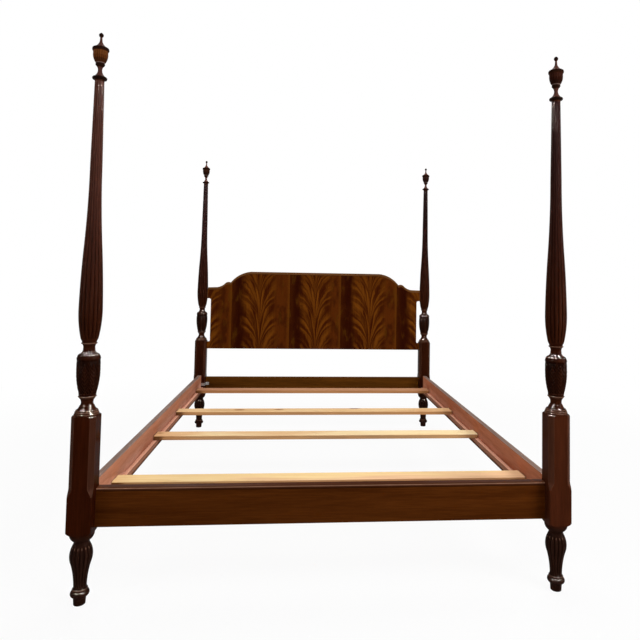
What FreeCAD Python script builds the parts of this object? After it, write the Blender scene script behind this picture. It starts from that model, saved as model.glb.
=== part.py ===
import FreeCAD, Part
import os
import re
import Sketcher

# Four-poster bed of mahogany: turned and reeded posts with urn finials, a shaped and
# veneered headboard, three kinds of rail and four loose slats.
# Millimetres. The origin is on the floor under the middle of the four posts.
# +Z is up, the head is at +Y and the bed's left, seen from the foot, is at -X.

os.makedirs("parts", exist_ok=True)
doc = FreeCAD.newDocument("poster_bed")

SIZES = {
    # Mattress space
    "mattress_width": 1524,
    "mattress_length": 2032,
    "mattress_gap": 8,
    # Posts
    "post_block": 77,
    "leg_height": 224,
    "leg_dia": 69,
    "block_height": 369,
    "block_chamfer": 14,
    "chamfer_length": 240,
    "top_shoulder_drop": 5,
    "low_shoulder_drop": 12,
    "vase_height": 236,
    "vase_dia": 75,
    "shaft_length": 852,
    "shaft_dia": 72.2,
    # Finials
    "finial_height": 166,
    "finial_dia": 53,
    "spigot_dia": 12,
    "spigot_length": 28,
    "spigot_play": 0.05,
    "bore_room": 2,
    # Foot rail, side rails and head rail
    "foot_rail_thick": 30,
    "foot_rail_height": 123,
    "foot_rail_bottom": 236,
    "side_rail_thick": 26,
    "side_rail_height": 124,
    "side_rail_bottom": 234,
    "head_rail_thick": 26,
    "head_rail_height": 107,
    "head_rail_bottom": 234,
    "bead_height": 9,
    "bead_quirk": 2,
    "tenon_thick": 12,
    "tenon_length": 32,
    "tenon_shoulder": 18,
    "tenon_setback": 5,
    # Ledgers and slats
    "ledger_width": 16,
    "ledger_height": 30,
    "ledger_rise": 14,
    "ledger_end_gap": 12,
    "slat_width": 76,
    "slat_thick": 20,
    "slat_end_gap": 3,
    "slat_round": 3,
    # Headboard
    "headboard_thick": 20,
    "headboard_bottom": 538,
    "headboard_height": 535,
    "crest_half": 450,
    "crest_drop": 113,
    "top_ear_height": 76,
    "low_ear_height": 47,
    "edge_inset": 59,
    "notch_round": 12,
    "ear_stop": 22,
    "crest_mould_height": 9,
    "crest_mould_proud": 3,
    "veneer_thick": 1,
    "middle_leaf_width": 360,
    "side_leaf_width": 400,
    # Rail hooks and their cross pins
    "hook_plate_width": 16,
    "hook_plate_thick": 3,
    "hook_plate_height": 112,
    "hook_thick": 3,
    "hook_reach": 12,
    "hook_height": 26,
    "hook_pitch": 50,
    "hook_bite": 12,
    "hook_clear": 0.4,
    "hook_lift": 16,
    "hook_pin_dia": 5,
    "hook_pin_length": 40,
    "hook_pin_depth": 7,
    "hook_pin_sunk": 1,
    # Steel brace and plate at the left head corner
    "brace_thick": 2.5,
    "brace_height": 18,
    "brace_leg": 22,
    "brace_level": 288,
    # Screws
    "screw_dia": 4,
    "screw_head_dia": 8,
    "screw_head_height": 2.5,
    "ledger_screw_length": 38,
    "plate_screw_length": 32,
    "brace_screw_length": 16,
    # Overrun of every cutting shape past the face that it opens
    "overrun": 2,
}

# Turned outlines. A row of two is a straight run to (radius share, height share), and a row
# of four is an arc through its first pair to its second. Radii are shares of half the
# diameter, and heights are shares of the length of the same part of the turning.
LEG_SHARES = [
    (0.566, 0.112),
    (0.833, 0.156, 0.64, 0.196),
    (0.69, 0.212, 0.59, 0.228),
    (0.575, 0.262),
    (0.655, 0.41, 0.862, 0.562),
    (1.0, 0.708, 0.72, 0.842),
    (0.69, 0.863, 0.72, 0.884),
    (0.74, 0.888),
    (0.96, 0.92, 1.1, 1.0),
]
FOOT_SHARE = 0.523
VASE_SHARES = [
    (1.0, 0.0),
    (1.022, 0.016, 1.0, 0.033),
    (0.945, 0.033),
    (0.968, 0.045, 0.94, 0.056),
    (0.8, 0.088, 0.635, 0.117),
    (0.51, 0.147, 0.5, 0.167),
    (0.545, 0.203, 0.66, 0.227),
    (0.735, 0.247, 0.69, 0.27),
    (0.715, 0.278),
    (0.905, 0.425, 1.0, 0.648),
    (0.99, 0.722, 0.955, 0.774),
    (0.925, 0.786),
    (0.89, 0.808, 0.78, 0.8235),
    (0.58, 0.847, 0.5, 0.889),
    (0.475, 0.913, 0.53, 0.941),
    (0.655, 0.964, 0.585, 0.988),
    (0.62, 1.0),
]
SHAFT_SHARES = [
    (0.63, 0.0),
    (0.73, 0.007),
    (0.92, 0.055, 1.0, 0.128),
    (0.93, 0.23, 0.783, 0.35),
    (0.583, 0.517, 0.52, 0.672),
    (0.41, 1.0),
]
FINIAL_SHARES = [
    (0.56, 0.0),
    (0.58, 0.03),
    (0.8, 0.05),
    (0.88, 0.088, 0.8, 0.126),
    (0.44, 0.165, 0.25, 0.228),
    (0.3, 0.277, 0.46, 0.318),
    (0.56, 0.345, 0.5, 0.372),
    (0.55, 0.378),
    (0.8, 0.458, 0.88, 0.568),
    (0.89, 0.614),
    (0.955, 0.622),
    (1.0, 0.65, 0.955, 0.678),
    (0.845, 0.69),
    (0.42, 0.742, 0.165, 0.815),
    (0.13, 0.9),
    (0.28, 0.945, 0.06, 0.99),
    (0.0, 1.0),
]
# The turning inside the square block, as a share of the block's side.
CORE_SHARE = 0.42
# The headboard's right shoulder, from the end of the flat crest to the post's face: shares of
# that run across and of the drop from the crest to the ear.
SHOULDER_SHARES = [
    (0.268, 0.21, 0.48, 0.69),
    (0.55, 0.655, 0.612, 0.75),
    (0.7, 0.91, 0.83, 0.985),
    (1.0, 1.0),
]
# Middles of the four slats, from foot to head, as shares of the mattress length.
SLAT_PLACE_SHARES = (-0.386, -0.099, 0.13, 0.415)
# The ledger screws' places from the middle of the rail, as shares of the ledger's length.
LEDGER_SCREW_SHARES = (-0.45, -0.3, -0.15, 0, 0.15, 0.3, 0.45)
# A brace's screw stands at this share of its leg, from the corner.
BRACE_SCREW_SHARE = 0.6
# The middle of a quarter round, as a share of its radius from the corner.
ROUND_MID_SHARE = 1 - 0.5 ** 0.5

# Places that several pieces share, as expressions on the sizes above.
HALF_WIDTH = "(mattress_width / 2 + mattress_gap + side_rail_thick / 2)"
HALF_LENGTH = ("(mattress_length / 2 + mattress_gap + foot_rail_thick / 2"
               " + headboard_thick / 4 + veneer_thick / 2)")
BLOCK_TOP = "(leg_height + block_height)"
VASE_TOP = "(leg_height + block_height + vase_height)"
POST_TOP = "(leg_height + block_height + vase_height + shaft_length)"
CROSS_SPAN = f"(2 * {HALF_WIDTH} - post_block)"
RAIL_LENGTH = f"(2 * {HALF_LENGTH} - post_block)"
HOOK_LEVEL = "(side_rail_height / 2)"
PIN_RISE = "(hook_bite - hook_height / 2)"
TENON_MIDDLE = "(tenon_setback + tenon_thick / 2)"
LEDGER_LENGTH = f"({RAIL_LENGTH} - 2 * ledger_end_gap)"
LEDGER_TOP = "(side_rail_bottom + ledger_rise + ledger_height)"

X_AXIS = FreeCAD.Vector(1, 0, 0)
Y_AXIS = FreeCAD.Vector(0, 1, 0)
Z_AXIS = FreeCAD.Vector(0, 0, 1)
SIDES = {"left": -1, "right": 1}
ENDS = {"foot": -1, "head": 1}


# The sheet of driving dimensions and the helpers that tie objects to it

sheet = doc.addObject("Spreadsheet::Sheet", "Dims")
for row, (alias, size) in enumerate(SIZES.items(), start=1):
    sheet.set(f"A{row}", alias)
    sheet.set(f"B{row}", str(size))
    sheet.setAlias(f"B{row}", alias)
doc.recompute()

nodes = []


def tied(text):
    """An expression in which each size is read from the sheet."""
    return re.sub(r"[a-z_]+", lambda word: f"Dims.{word[0]}" if word[0] in SIZES else word[0], text)


def number(text):
    """The value of an expression now, to draw a sketch near its solution."""
    return float(sheet.evalExpression(text))


def bind(obj, **expressions):
    for name, text in expressions.items():
        obj.setExpression(name, tied(text))
    return obj


def put(obj, x="0", y="0", z="0"):
    """Ties the place of an object to expressions."""
    for axis, text in zip("xyz", (x, y, z)):
        obj.setExpression(f"Placement.Base.{axis}", tied(text))
    return obj


def node(obj, label, x="0", y="0", z="0"):
    """Names a finished piece, puts it in the bed and lists it for writing out."""
    obj.Label = label
    put(obj, x, y, z)
    nodes.append(obj)
    return obj


def box(name, size, middle, bottom):
    """A box that is centred on middle in X and Y and stands on bottom."""
    obj = doc.addObject("Part::Box", name)
    bind(obj, Length=size[0], Width=size[1], Height=size[2])
    return put(obj, f"{middle[0]} - ({size[0]}) / 2", f"{middle[1]} - ({size[1]}) / 2", bottom)


def rod(name, dia, length, start, direction):
    """A round bar from start along direction."""
    obj = doc.addObject("Part::Cylinder", name)
    obj.Placement = FreeCAD.Placement(FreeCAD.Vector(), FreeCAD.Rotation(Z_AXIS, direction))
    bind(obj, Radius=f"({dia}) / 2", Height=length)
    return put(obj, *start)


def screw(name, length, start, direction):
    """A countersunk screw whose flat head lies at start, pointing along direction."""
    head = doc.addObject("Part::Cone", f"{name}_head")
    head.Placement = FreeCAD.Placement(FreeCAD.Vector(), FreeCAD.Rotation(Z_AXIS, direction))
    bind(head, Radius1="screw_head_dia / 2", Radius2="screw_dia / 2", Height="screw_head_height")
    put(head, *start)
    return fuse(name, [head, rod(f"{name}_shank", "screw_dia", length, start, direction)])


def fuse(name, shapes):
    obj = doc.addObject("Part::MultiFuse", name)
    obj.Shapes = shapes
    return obj


def cut(name, base, tools):
    obj = doc.addObject("Part::Cut", name)
    obj.Base = base
    obj.Tool = tools[0] if len(tools) == 1 else fuse(f"{name}_tools", tools)
    return obj


def group(name, pieces):
    obj = doc.addObject("Part::Compound", name)
    obj.Links = pieces
    return obj


def body(name):
    return doc.addObject("PartDesign::Body", name)


def blank_sketch(owner, role, name, lift="0"):
    """An empty sketch on one of its body's own planes, moved along that plane's normal."""
    sketch = owner.newObject("Sketcher::SketchObject", name)
    plane = next(item for item in owner.Origin.OriginFeatures if item.Role == role)
    sketch.AttachmentSupport = [(plane, "")]
    sketch.MapMode = "FlatFace"
    sketch.setExpression("AttachmentOffset.Base.z", tied(lift))
    return sketch


def fix_point(sketch, geometry, point, x, y):
    """Ties a point of a sketch to two expressions measured from the sketch's origin."""
    for kind, text in (("DistanceX", x), ("DistanceY", y)):
        index = sketch.addConstraint(Sketcher.Constraint(kind, -1, 1, geometry, point, number(text)))
        if text != "0":
            sketch.setExpression(f"Constraints[{index}]", tied(text))


def outline(sketch, start, steps):
    """Draws a closed outline. A step (x, y) is a line, and (mid x, mid y, x, y) an arc."""
    here = start
    ends = []
    for step in steps + [start]:
        there = step[-2:]
        a, b = (FreeCAD.Vector(number(x), number(y), 0) for x, y in (here, there))
        if len(step) == 4:
            middle = FreeCAD.Vector(number(step[0]), number(step[1]), 0)
            index = sketch.addGeometry(Part.Arc(a, middle, b), False)
            mark = sketch.addGeometry(Part.Point(middle), True)
            fix_point(sketch, mark, 1, *step[:2])
            sketch.addConstraint(Sketcher.Constraint("PointOnObject", mark, 1, index))
            near, far = (sketch.getPoint(index, point).distanceToPoint(a) for point in (1, 2))
            forward = near < far
        else:
            index = sketch.addGeometry(Part.LineSegment(a, b), False)
            forward = True
        first, last = (1, 2) if forward else (2, 1)
        fix_point(sketch, index, first, *here)
        ends.append((index, first, last))
        here = there
    for (index, _, last), (follower, first, _) in zip(ends, ends[1:] + ends[:1]):
        sketch.addConstraint(Sketcher.Constraint("Coincident", index, last, follower, first))
    return sketch


def pad(owner, sketch, length, name):
    feature = owner.newObject("PartDesign::Pad", name)
    feature.Profile = sketch
    bind(feature, Length=length)
    return feature


def revolve(owner, sketch, kind, name):
    feature = owner.newObject(kind, name)
    feature.Profile = sketch
    feature.ReferenceAxis = (sketch, ["V_Axis"])
    feature.Angle = 360
    return feature


def turned(shares, dia, base, height):
    """Outline steps of a turning, from its table of shares."""
    steps = []
    for row in shares:
        step = []
        for index, share in enumerate(row):
            step.append(f"{share} * {dia} / 2" if index % 2 == 0 else f"{base} + {share} * {height}")
        steps.append(tuple(step))
    return steps


def rectangle(width, height, middle=("0", "0")):
    """Start and steps of a rectangle about a middle point."""
    left, right = f"{middle[0]} - ({width}) / 2", f"{middle[0]} + ({width}) / 2"
    low, high = f"{middle[1]} - ({height}) / 2", f"{middle[1]} + ({height}) / 2"
    return (left, low), [(right, low), (right, high), (left, high)]


# Posts

def post_blank():
    """The turning and its square block, before any mortise is cut."""
    blank = body("post_blank")
    core = f"{CORE_SHARE} * post_block"
    steps = [(f"{FOOT_SHARE} * leg_dia / 2", "0")]
    steps += turned(LEG_SHARES, "leg_dia", "0", "leg_height")
    steps += [(core, "leg_height"), (core, BLOCK_TOP)]
    steps += turned(VASE_SHARES, "vase_dia", BLOCK_TOP, "vase_height")
    steps += turned(SHAFT_SHARES, "shaft_dia", VASE_TOP, "shaft_length")
    steps += [("0", POST_TOP)]
    turning = outline(blank_sketch(blank, "XZ_Plane", "post_outline"), ("0", "0"), steps)
    revolve(blank, turning, "PartDesign::Revolution", "post_turning")

    square = outline(blank_sketch(blank, "XY_Plane", "block_square", "leg_height"),
                     *rectangle("post_block", "post_block"))
    pad(blank, square, "block_height", "post_block_pad")

    # The lathe rounds the block's corners over at both ends, which arches its four faces.
    shoulders = blank_sketch(blank, "XZ_Plane", "block_shoulders")
    inner, outer = "post_block / 2", "post_block + overrun"
    slope = f"({outer} - {inner}) / (0.5 * sqrt(2) * post_block - {inner})"
    for face, fall in ((BLOCK_TOP, "-top_shoulder_drop"), ("leg_height", "low_shoulder_drop")):
        rim = (outer, f"{face} + {slope} * ({fall})")
        outline(shoulders, (inner, face), [(outer, face), rim])
    revolve(blank, shoulders, "PartDesign::Groove", "block_shoulder_turning")

    # Stopped chamfers on the upper part of the block.
    corner = blank_sketch(blank, "XY_Plane", "block_corner", BLOCK_TOP)
    far, near = "post_block / 2 + overrun", "post_block / 2 - block_chamfer - overrun"
    outline(corner, (far, near), [(far, far), (near, far)])
    chamfer = blank.newObject("PartDesign::Pocket", "block_chamfer_cut")
    chamfer.Profile = corner
    bind(chamfer, Length="chamfer_length")
    around = blank.newObject("PartDesign::PolarPattern", "block_chamfers")
    around.Originals = [chamfer]
    around.Axis = (corner, ["N_Axis"])
    around.Angle = 360
    around.Occurrences = 4
    blank.Tip = around
    return blank


def hook_pin_places(side, end):
    """Start of each hook pin in the post's own frame. The pins point away from the bed."""
    x = f"{-side} * (post_block / 2 - hook_pin_sunk)"
    y = f"{-end} * (post_block / 2 - hook_pin_depth)"
    level = f"side_rail_bottom + {HOOK_LEVEL} + {PIN_RISE}"
    return [(x, y, f"{level} + {step} * hook_pitch / 2") for step in (-1, 1)]


def brace_screw_starts():
    """Post-side and rail-side screw of the head brace, in the left head post's own frame."""
    level = "brace_level + brace_height / 2"
    to_post = ("post_block / 2 + brace_thick", f"-{BRACE_SCREW_SHARE} * brace_leg", level)
    to_rail = (f"post_block / 2 + {BRACE_SCREW_SHARE} * brace_leg", "-brace_thick", level)
    return to_post, to_rail


def plate_screw_start():
    """The one screw of the small plate on the front of the left head post."""
    return ("post_block / 4 + side_rail_thick / 4", "-post_block / 2 - brace_thick",
            "brace_level + brace_height / 2")


def post(blank, side_name, end_name):
    """A post with its finial bore, rail mortise, hook slot and pin holes."""
    side, end = SIDES[side_name], ENDS[end_name]
    name = f"post_{end_name}_{side_name}"
    rail = f"{end_name}_rail"
    bore_start = ("0", "0", f"{POST_TOP} - spigot_length - bore_room")
    tools = [rod(f"{name}_bore", "(spigot_dia + 2 * spigot_play)",
                 "spigot_length + bore_room + overrun", bore_start, Z_AXIS)]

    mortise = "(tenon_length + overrun)"
    across = f"{-side} * (post_block / 2 + overrun - {mortise} / 2)"
    tools.append(box(f"{name}_mortise", (mortise, "tenon_thick", f"{rail}_height - 2 * tenon_shoulder"),
                     (across, TENON_MIDDLE), f"{rail}_bottom + tenon_shoulder"))

    slot_depth = "(hook_reach + hook_clear + overrun)"
    slot_bottom = f"side_rail_bottom + {HOOK_LEVEL} - hook_pitch / 2 - hook_height / 2 - hook_clear"
    tools.append(box(f"{name}_slot",
                     ("hook_thick + 2 * hook_clear", slot_depth,
                      "hook_pitch + hook_height + hook_lift + 2 * hook_clear"),
                     ("0", f"{-end} * (post_block / 2 + overrun - {slot_depth} / 2)"), slot_bottom))

    for index, start in enumerate(hook_pin_places(side, end)):
        opening = (f"{-side} * (post_block / 2 + overrun)", *start[1:])
        tools.append(rod(f"{name}_pin_hole_{index}", "hook_pin_dia",
                         "hook_pin_length + hook_pin_sunk + overrun", opening, side * X_AXIS))

    if end_name == "head":
        housing = "(post_block / 2 + overrun - ear_stop)"
        middle = (f"{-side} * (ear_stop + {housing} / 2)", "0")
        for ear, (bottom, height) in EARS.items():
            tools.append(box(f"{name}_{ear}_housing", (housing, "headboard_thick", height), middle, bottom))
    if name == "post_head_left":
        to_post, _ = brace_screw_starts()
        tools.append(screw(f"{name}_brace_hole", "brace_screw_length", to_post, side * X_AXIS))
        tools.append(screw(f"{name}_plate_hole", "brace_screw_length", plate_screw_start(), Y_AXIS))
    node(cut(f"{name}_cut", blank, tools), name, f"{side} * {HALF_WIDTH}", f"{end} * {HALF_LENGTH}")


def finial(side_name, end_name):
    """An urn finial, turned with the spigot that drops into the post's bore."""
    name = f"finial_{end_name}_{side_name}"
    urn = body(f"{name}_body")
    steps = [("spigot_dia / 2", "-spigot_length"), ("spigot_dia / 2", "0")]
    steps += turned(FINIAL_SHARES, "finial_dia", "0", "finial_height")
    # The last row meets the axis, so its radius is a plain zero.
    steps[-1] = ("0", "finial_height")
    sketch = outline(blank_sketch(urn, "XZ_Plane", f"{name}_outline"), ("0", "-spigot_length"), steps)
    revolve(urn, sketch, "PartDesign::Revolution", f"{name}_turning")
    node(urn, name, f"{SIDES[side_name]} * {HALF_WIDTH}", f"{ENDS[end_name]} * {HALF_LENGTH}", POST_TOP)


# Rails

def beaded_section(thick, height, outward):
    """A rail's section with a quirked bead on its outer top edge. Outward is -1 or 1."""
    def across(depth):
        return f"{outward} * (({thick}) / 2 - ({depth}))"

    half = "bead_height / 2"
    mid = f"{ROUND_MID_SHARE} * bead_height / 2"
    start = (across("0"), "0")
    steps = [
        (across(thick), "0"),
        (across(thick), height),
        (across(half), height),
        (across(mid), f"{height} - {mid}", across("0"), f"{height} - {half}"),
        (across("0"), f"{height} - bead_height"),
        (across("bead_quirk"), f"{height} - bead_height"),
        (across("bead_quirk"), f"{height} - bead_height - bead_quirk"),
        (across("0"), f"{height} - bead_height - bead_quirk"),
    ]
    return start, steps


def cross_rail(end_name, section, middle):
    """A rail between two posts, tenoned into both. Middle is the rail's middle along Y."""
    rail = f"{end_name}_rail"
    timber = body(f"{rail}_body")
    plan = outline(blank_sketch(timber, "YZ_Plane", f"{rail}_section", f"-{CROSS_SPAN} / 2"), *section)
    pad(timber, plan, CROSS_SPAN, f"{rail}_pad")
    tenons = blank_sketch(timber, "YZ_Plane", f"{rail}_tenon_section", f"-{CROSS_SPAN} / 2 - tenon_length")
    outline(tenons, *rectangle("tenon_thick", f"{rail}_height - 2 * tenon_shoulder",
                               (f"{TENON_MIDDLE} - ({middle})", f"{rail}_height / 2")))
    pad(timber, tenons, f"{CROSS_SPAN} + 2 * tenon_length", f"{rail}_tenons")
    return timber


def foot_rail():
    beaded = beaded_section("foot_rail_thick", "foot_rail_height", -1)
    timber = cross_rail("foot", beaded, "foot_rail_thick / 2")
    node(timber, "foot_rail", "0", f"-{HALF_LENGTH} + foot_rail_thick / 2", "foot_rail_bottom")


def head_rail():
    plain = rectangle("head_rail_thick", "head_rail_height", ("0", "head_rail_height / 2"))
    timber = cross_rail("head", plain, "head_rail_thick / 2")
    x, y, z = brace_screw_starts()[1]
    start = (f"-{HALF_WIDTH} + {x}", f"{y} - head_rail_thick / 2", f"{z} - head_rail_bottom")
    hole = screw("head_rail_hole", "brace_screw_length", start, Y_AXIS)
    node(cut("head_rail_cut", timber, [hole]), "head_rail", "0", f"{HALF_LENGTH} + head_rail_thick / 2",
         "head_rail_bottom")


def ledger_screws(side_name):
    """Screws from the ledger's inner face into the rail, in the rail's frame."""
    side = SIDES[side_name]
    x = f"{-side} * (side_rail_thick / 2 + ledger_width)"
    z = "ledger_rise + ledger_height / 2"
    screws = []
    for index, share in enumerate(LEDGER_SCREW_SHARES):
        start = (x, f"{share} * {LEDGER_LENGTH}", z)
        screws.append(screw(f"ledger_screw_{side_name}_{index}", "ledger_screw_length", start, side * X_AXIS))
    return group(f"ledger_screws_{side_name}_group", screws)


def hook_plate(side_name, end_name):
    """A steel plate let into the rail's end, with two hooks that drop over the post's pins."""
    end = ENDS[end_name]
    name = f"{end_name}_{side_name}"
    face = f"({RAIL_LENGTH} / 2)"
    plate = box(f"hook_plate_{name}_flat", ("hook_plate_width", "hook_plate_thick", "hook_plate_height"),
                ("0", f"{end} * ({face} - hook_plate_thick / 2)"), f"{HOOK_LEVEL} - hook_plate_height / 2")
    solid, notches = [plate], []
    tongue = "(hook_reach + hook_plate_thick)"
    notch = "(hook_pin_dia + 2 * hook_clear)"
    for index, step in enumerate((-1, 1)):
        level = f"{HOOK_LEVEL} + {step} * hook_pitch / 2"
        bottom = f"{level} - hook_height / 2"
        solid.append(box(f"hook_{name}_{index}", ("hook_thick", tongue, "hook_height"),
                         ("0", f"{end} * ({face} - hook_plate_thick + {tongue} / 2)"), bottom))
        pin_y = f"{end} * ({face} + hook_pin_depth)"
        notches.append(box(f"hook_notch_{name}_{index}",
                           ("hook_thick + 2 * overrun", notch, "hook_bite + overrun"),
                           ("0", pin_y), f"{bottom} - overrun"))
        notches.append(rod(f"hook_throat_{name}_{index}", notch, "hook_thick + 2 * overrun",
                           ("-hook_thick / 2 - overrun", pin_y, f"{bottom} + hook_bite"), X_AXIS))
    return cut(f"hook_plate_{name}_cut", fuse(f"hook_plate_{name}_solid", solid), notches)


def plate_screws(side_name):
    """Two screws at each end of a side rail that hold its hook plates, in the rail's frame."""
    screws = []
    for end_name, end in ENDS.items():
        for index, step in enumerate((-1, 1)):
            level = f"{HOOK_LEVEL} + {step} * (hook_plate_height / 2 - screw_head_dia)"
            start = ("0", f"{end} * {RAIL_LENGTH} / 2", level)
            screws.append(screw(f"plate_screw_{side_name}_{end_name}_{index}", "plate_screw_length",
                                start, -end * Y_AXIS))
    return group(f"hook_plate_screws_{side_name}_group", screws)


def side_rail(side_name):
    """A side rail with its ledger, hook plates and screws, all in the rail's own frame."""
    side = SIDES[side_name]
    place = (f"{side} * {HALF_WIDTH}", "0", "side_rail_bottom")
    timber = body(f"side_rail_{side_name}_body")
    sketch = blank_sketch(timber, "XZ_Plane", f"side_rail_{side_name}_section", f"-{RAIL_LENGTH} / 2")
    outline(sketch, *beaded_section("side_rail_thick", "side_rail_height", side))
    pad(timber, sketch, RAIL_LENGTH, f"side_rail_{side_name}_pad")

    recess = "(hook_plate_thick + overrun)"
    recesses = []
    for end_name, end in ENDS.items():
        recesses.append(box(f"hook_recess_{end_name}_{side_name}",
                            ("hook_plate_width", recess, "hook_plate_height"),
                            ("0", f"{end} * ({RAIL_LENGTH} / 2 + overrun - {recess} / 2)"),
                            f"{HOOK_LEVEL} - hook_plate_height / 2"))
    to_rail, to_plates = ledger_screws(side_name), plate_screws(side_name)
    node(cut(f"side_rail_{side_name}_cut", timber, recesses + [to_rail, to_plates]),
         f"side_rail_{side_name}", *place)

    strip = box(f"ledger_{side_name}_strip",
                ("ledger_width", LEDGER_LENGTH, "ledger_height"),
                (f"{-side} * (side_rail_thick + ledger_width) / 2", "0"), "ledger_rise")
    node(cut(f"ledger_{side_name}_cut", strip, [to_rail]), f"ledger_{side_name}", *place)
    for end_name in ENDS:
        plate = hook_plate(side_name, end_name)
        node(cut(f"hook_plate_{end_name}_{side_name}_drilled", plate, [to_plates]),
             f"hook_plate_{end_name}_{side_name}", *place)
    node(group(f"ledger_screws_{side_name}_set", [to_rail]), f"ledger_screws_{side_name}", *place)
    node(group(f"hook_plate_screws_{side_name}_set", [to_plates]), f"hook_plate_screws_{side_name}", *place)


def hook_pins(side_name, end_name):
    """The two steel cross pins in a post that carry a side rail's hooks."""
    side, end = SIDES[side_name], ENDS[end_name]
    name = f"hook_pins_{end_name}_{side_name}"
    pins = []
    for index, start in enumerate(hook_pin_places(side, end)):
        pins.append(rod(f"{name}_{index}", "hook_pin_dia", "hook_pin_length", start, side * X_AXIS))
    node(group(f"{name}_group", pins), name, f"{side} * {HALF_WIDTH}", f"{end} * {HALF_LENGTH}")


def slat(number_from_foot, place_share):
    """A loose pine slat that lies on both ledgers."""
    name = f"slat_{number_from_foot}"
    length = f"(2 * ({HALF_WIDTH} - side_rail_thick / 2 - slat_end_gap))"
    board = body(f"{name}_body")
    sketch = outline(blank_sketch(board, "YZ_Plane", f"{name}_section", f"-{length} / 2"),
                     *rectangle("slat_width", "slat_thick", ("0", "slat_thick / 2")))
    planed = pad(board, sketch, length, f"{name}_pad")
    doc.recompute()
    eased = board.newObject("PartDesign::Fillet", f"{name}_eased")
    long_edges = [f"Edge{i}" for i, edge in enumerate(planed.Shape.Edges, start=1)
                  if abs(edge.tangentAt(edge.FirstParameter).x) == 1]
    eased.Base = (planed, long_edges)
    bind(eased, Radius="slat_round")
    node(board, name, "0", f"{place_share} * mattress_length", LEDGER_TOP)


# Headboard, in a frame whose origin is on the floor between the two head posts

EAR_TIP = f"({HALF_WIDTH} - ear_stop)"
POST_FACE = f"({HALF_WIDTH} - post_block / 2)"
HEADBOARD_TOP = "(headboard_bottom + headboard_height)"
TOP_EAR_BOTTOM = f"({HEADBOARD_TOP} - crest_drop - top_ear_height)"
LOW_EAR_TOP = "(headboard_bottom + low_ear_height)"
# Bottom and height of the ears that are let into the head posts.
EARS = {
    "top_ear": (TOP_EAR_BOTTOM, "(top_ear_height - crest_mould_height)"),
    "low_ear": ("headboard_bottom", "low_ear_height"),
}


def crest_run(lowered):
    """The right half of the shaped top, from the end of the flat crest to the post's face."""
    run = f"({POST_FACE} - crest_half)"
    steps = [("crest_half", f"{HEADBOARD_TOP} - {lowered}")]
    for row in SHOULDER_SHARES:
        step = []
        for index, share in enumerate(row):
            step.append(f"crest_half + {share} * {run}" if index % 2 == 0
                        else f"{HEADBOARD_TOP} - {lowered} - {share} * crest_drop")
        steps.append(tuple(step))
    return steps


def reversed_run(steps, mirrored):
    """The same steps from last to first, mirrored in the bed's middle plane where asked."""
    def flip(x):
        return f"-({x})" if mirrored else x

    backward = []
    for step, before in zip(steps[::-1], steps[-2::-1] + [None]):
        if before is None:
            continue
        end = (flip(before[-2]), before[-1])
        backward.append((flip(step[0]), step[1], *end) if len(step) == 4 else end)
    first = (flip(steps[-1][-2]), steps[-1][-1])
    return first, backward


def mirrored_run(steps):
    """The same steps in the same order, mirrored in the bed's middle plane."""
    flipped = []
    for step in steps:
        flipped.append(tuple(f"-({part})" if index % 2 == 0 else part for index, part in enumerate(step)))
    return flipped


def headboard_steps():
    """The board's outline: bottom, right notch, shaped top, left notch."""
    edge = f"({HALF_WIDTH} - edge_inset)"
    near = f"({HALF_WIDTH} - edge_inset + notch_round)"
    mid = f"({HALF_WIDTH} - edge_inset + {ROUND_MID_SHARE} * notch_round)"
    rise = f"{ROUND_MID_SHARE} * notch_round"
    right = [
        (EAR_TIP, "headboard_bottom"),
        (EAR_TIP, LOW_EAR_TOP),
        (near, LOW_EAR_TOP),
        (mid, f"{LOW_EAR_TOP} + {rise}", edge, f"{LOW_EAR_TOP} + notch_round"),
        (edge, f"{TOP_EAR_BOTTOM} - notch_round"),
        (mid, f"{TOP_EAR_BOTTOM} - {rise}", near, TOP_EAR_BOTTOM),
        (EAR_TIP, TOP_EAR_BOTTOM),
        (EAR_TIP, f"{HEADBOARD_TOP} - crest_mould_height - crest_drop"),
    ]
    first, down_to_crest = reversed_run(crest_run("crest_mould_height"), False)
    right += [first] + down_to_crest
    last, back = reversed_run(right, True)
    return right[0], right[1:] + [last] + back


def board(name, thick, middle):
    """A flat board of the headboard's outline, thick along Y about middle."""
    panel = body(f"{name}_body")
    # The sketch plane's normal points to -Y, so the pad runs towards the foot of the bed.
    sketch = blank_sketch(panel, "XZ_Plane", f"{name}_outline", f"-({middle}) - ({thick}) / 2")
    outline(sketch, *headboard_steps())
    pad(panel, sketch, thick, f"{name}_pad")
    return panel


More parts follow.
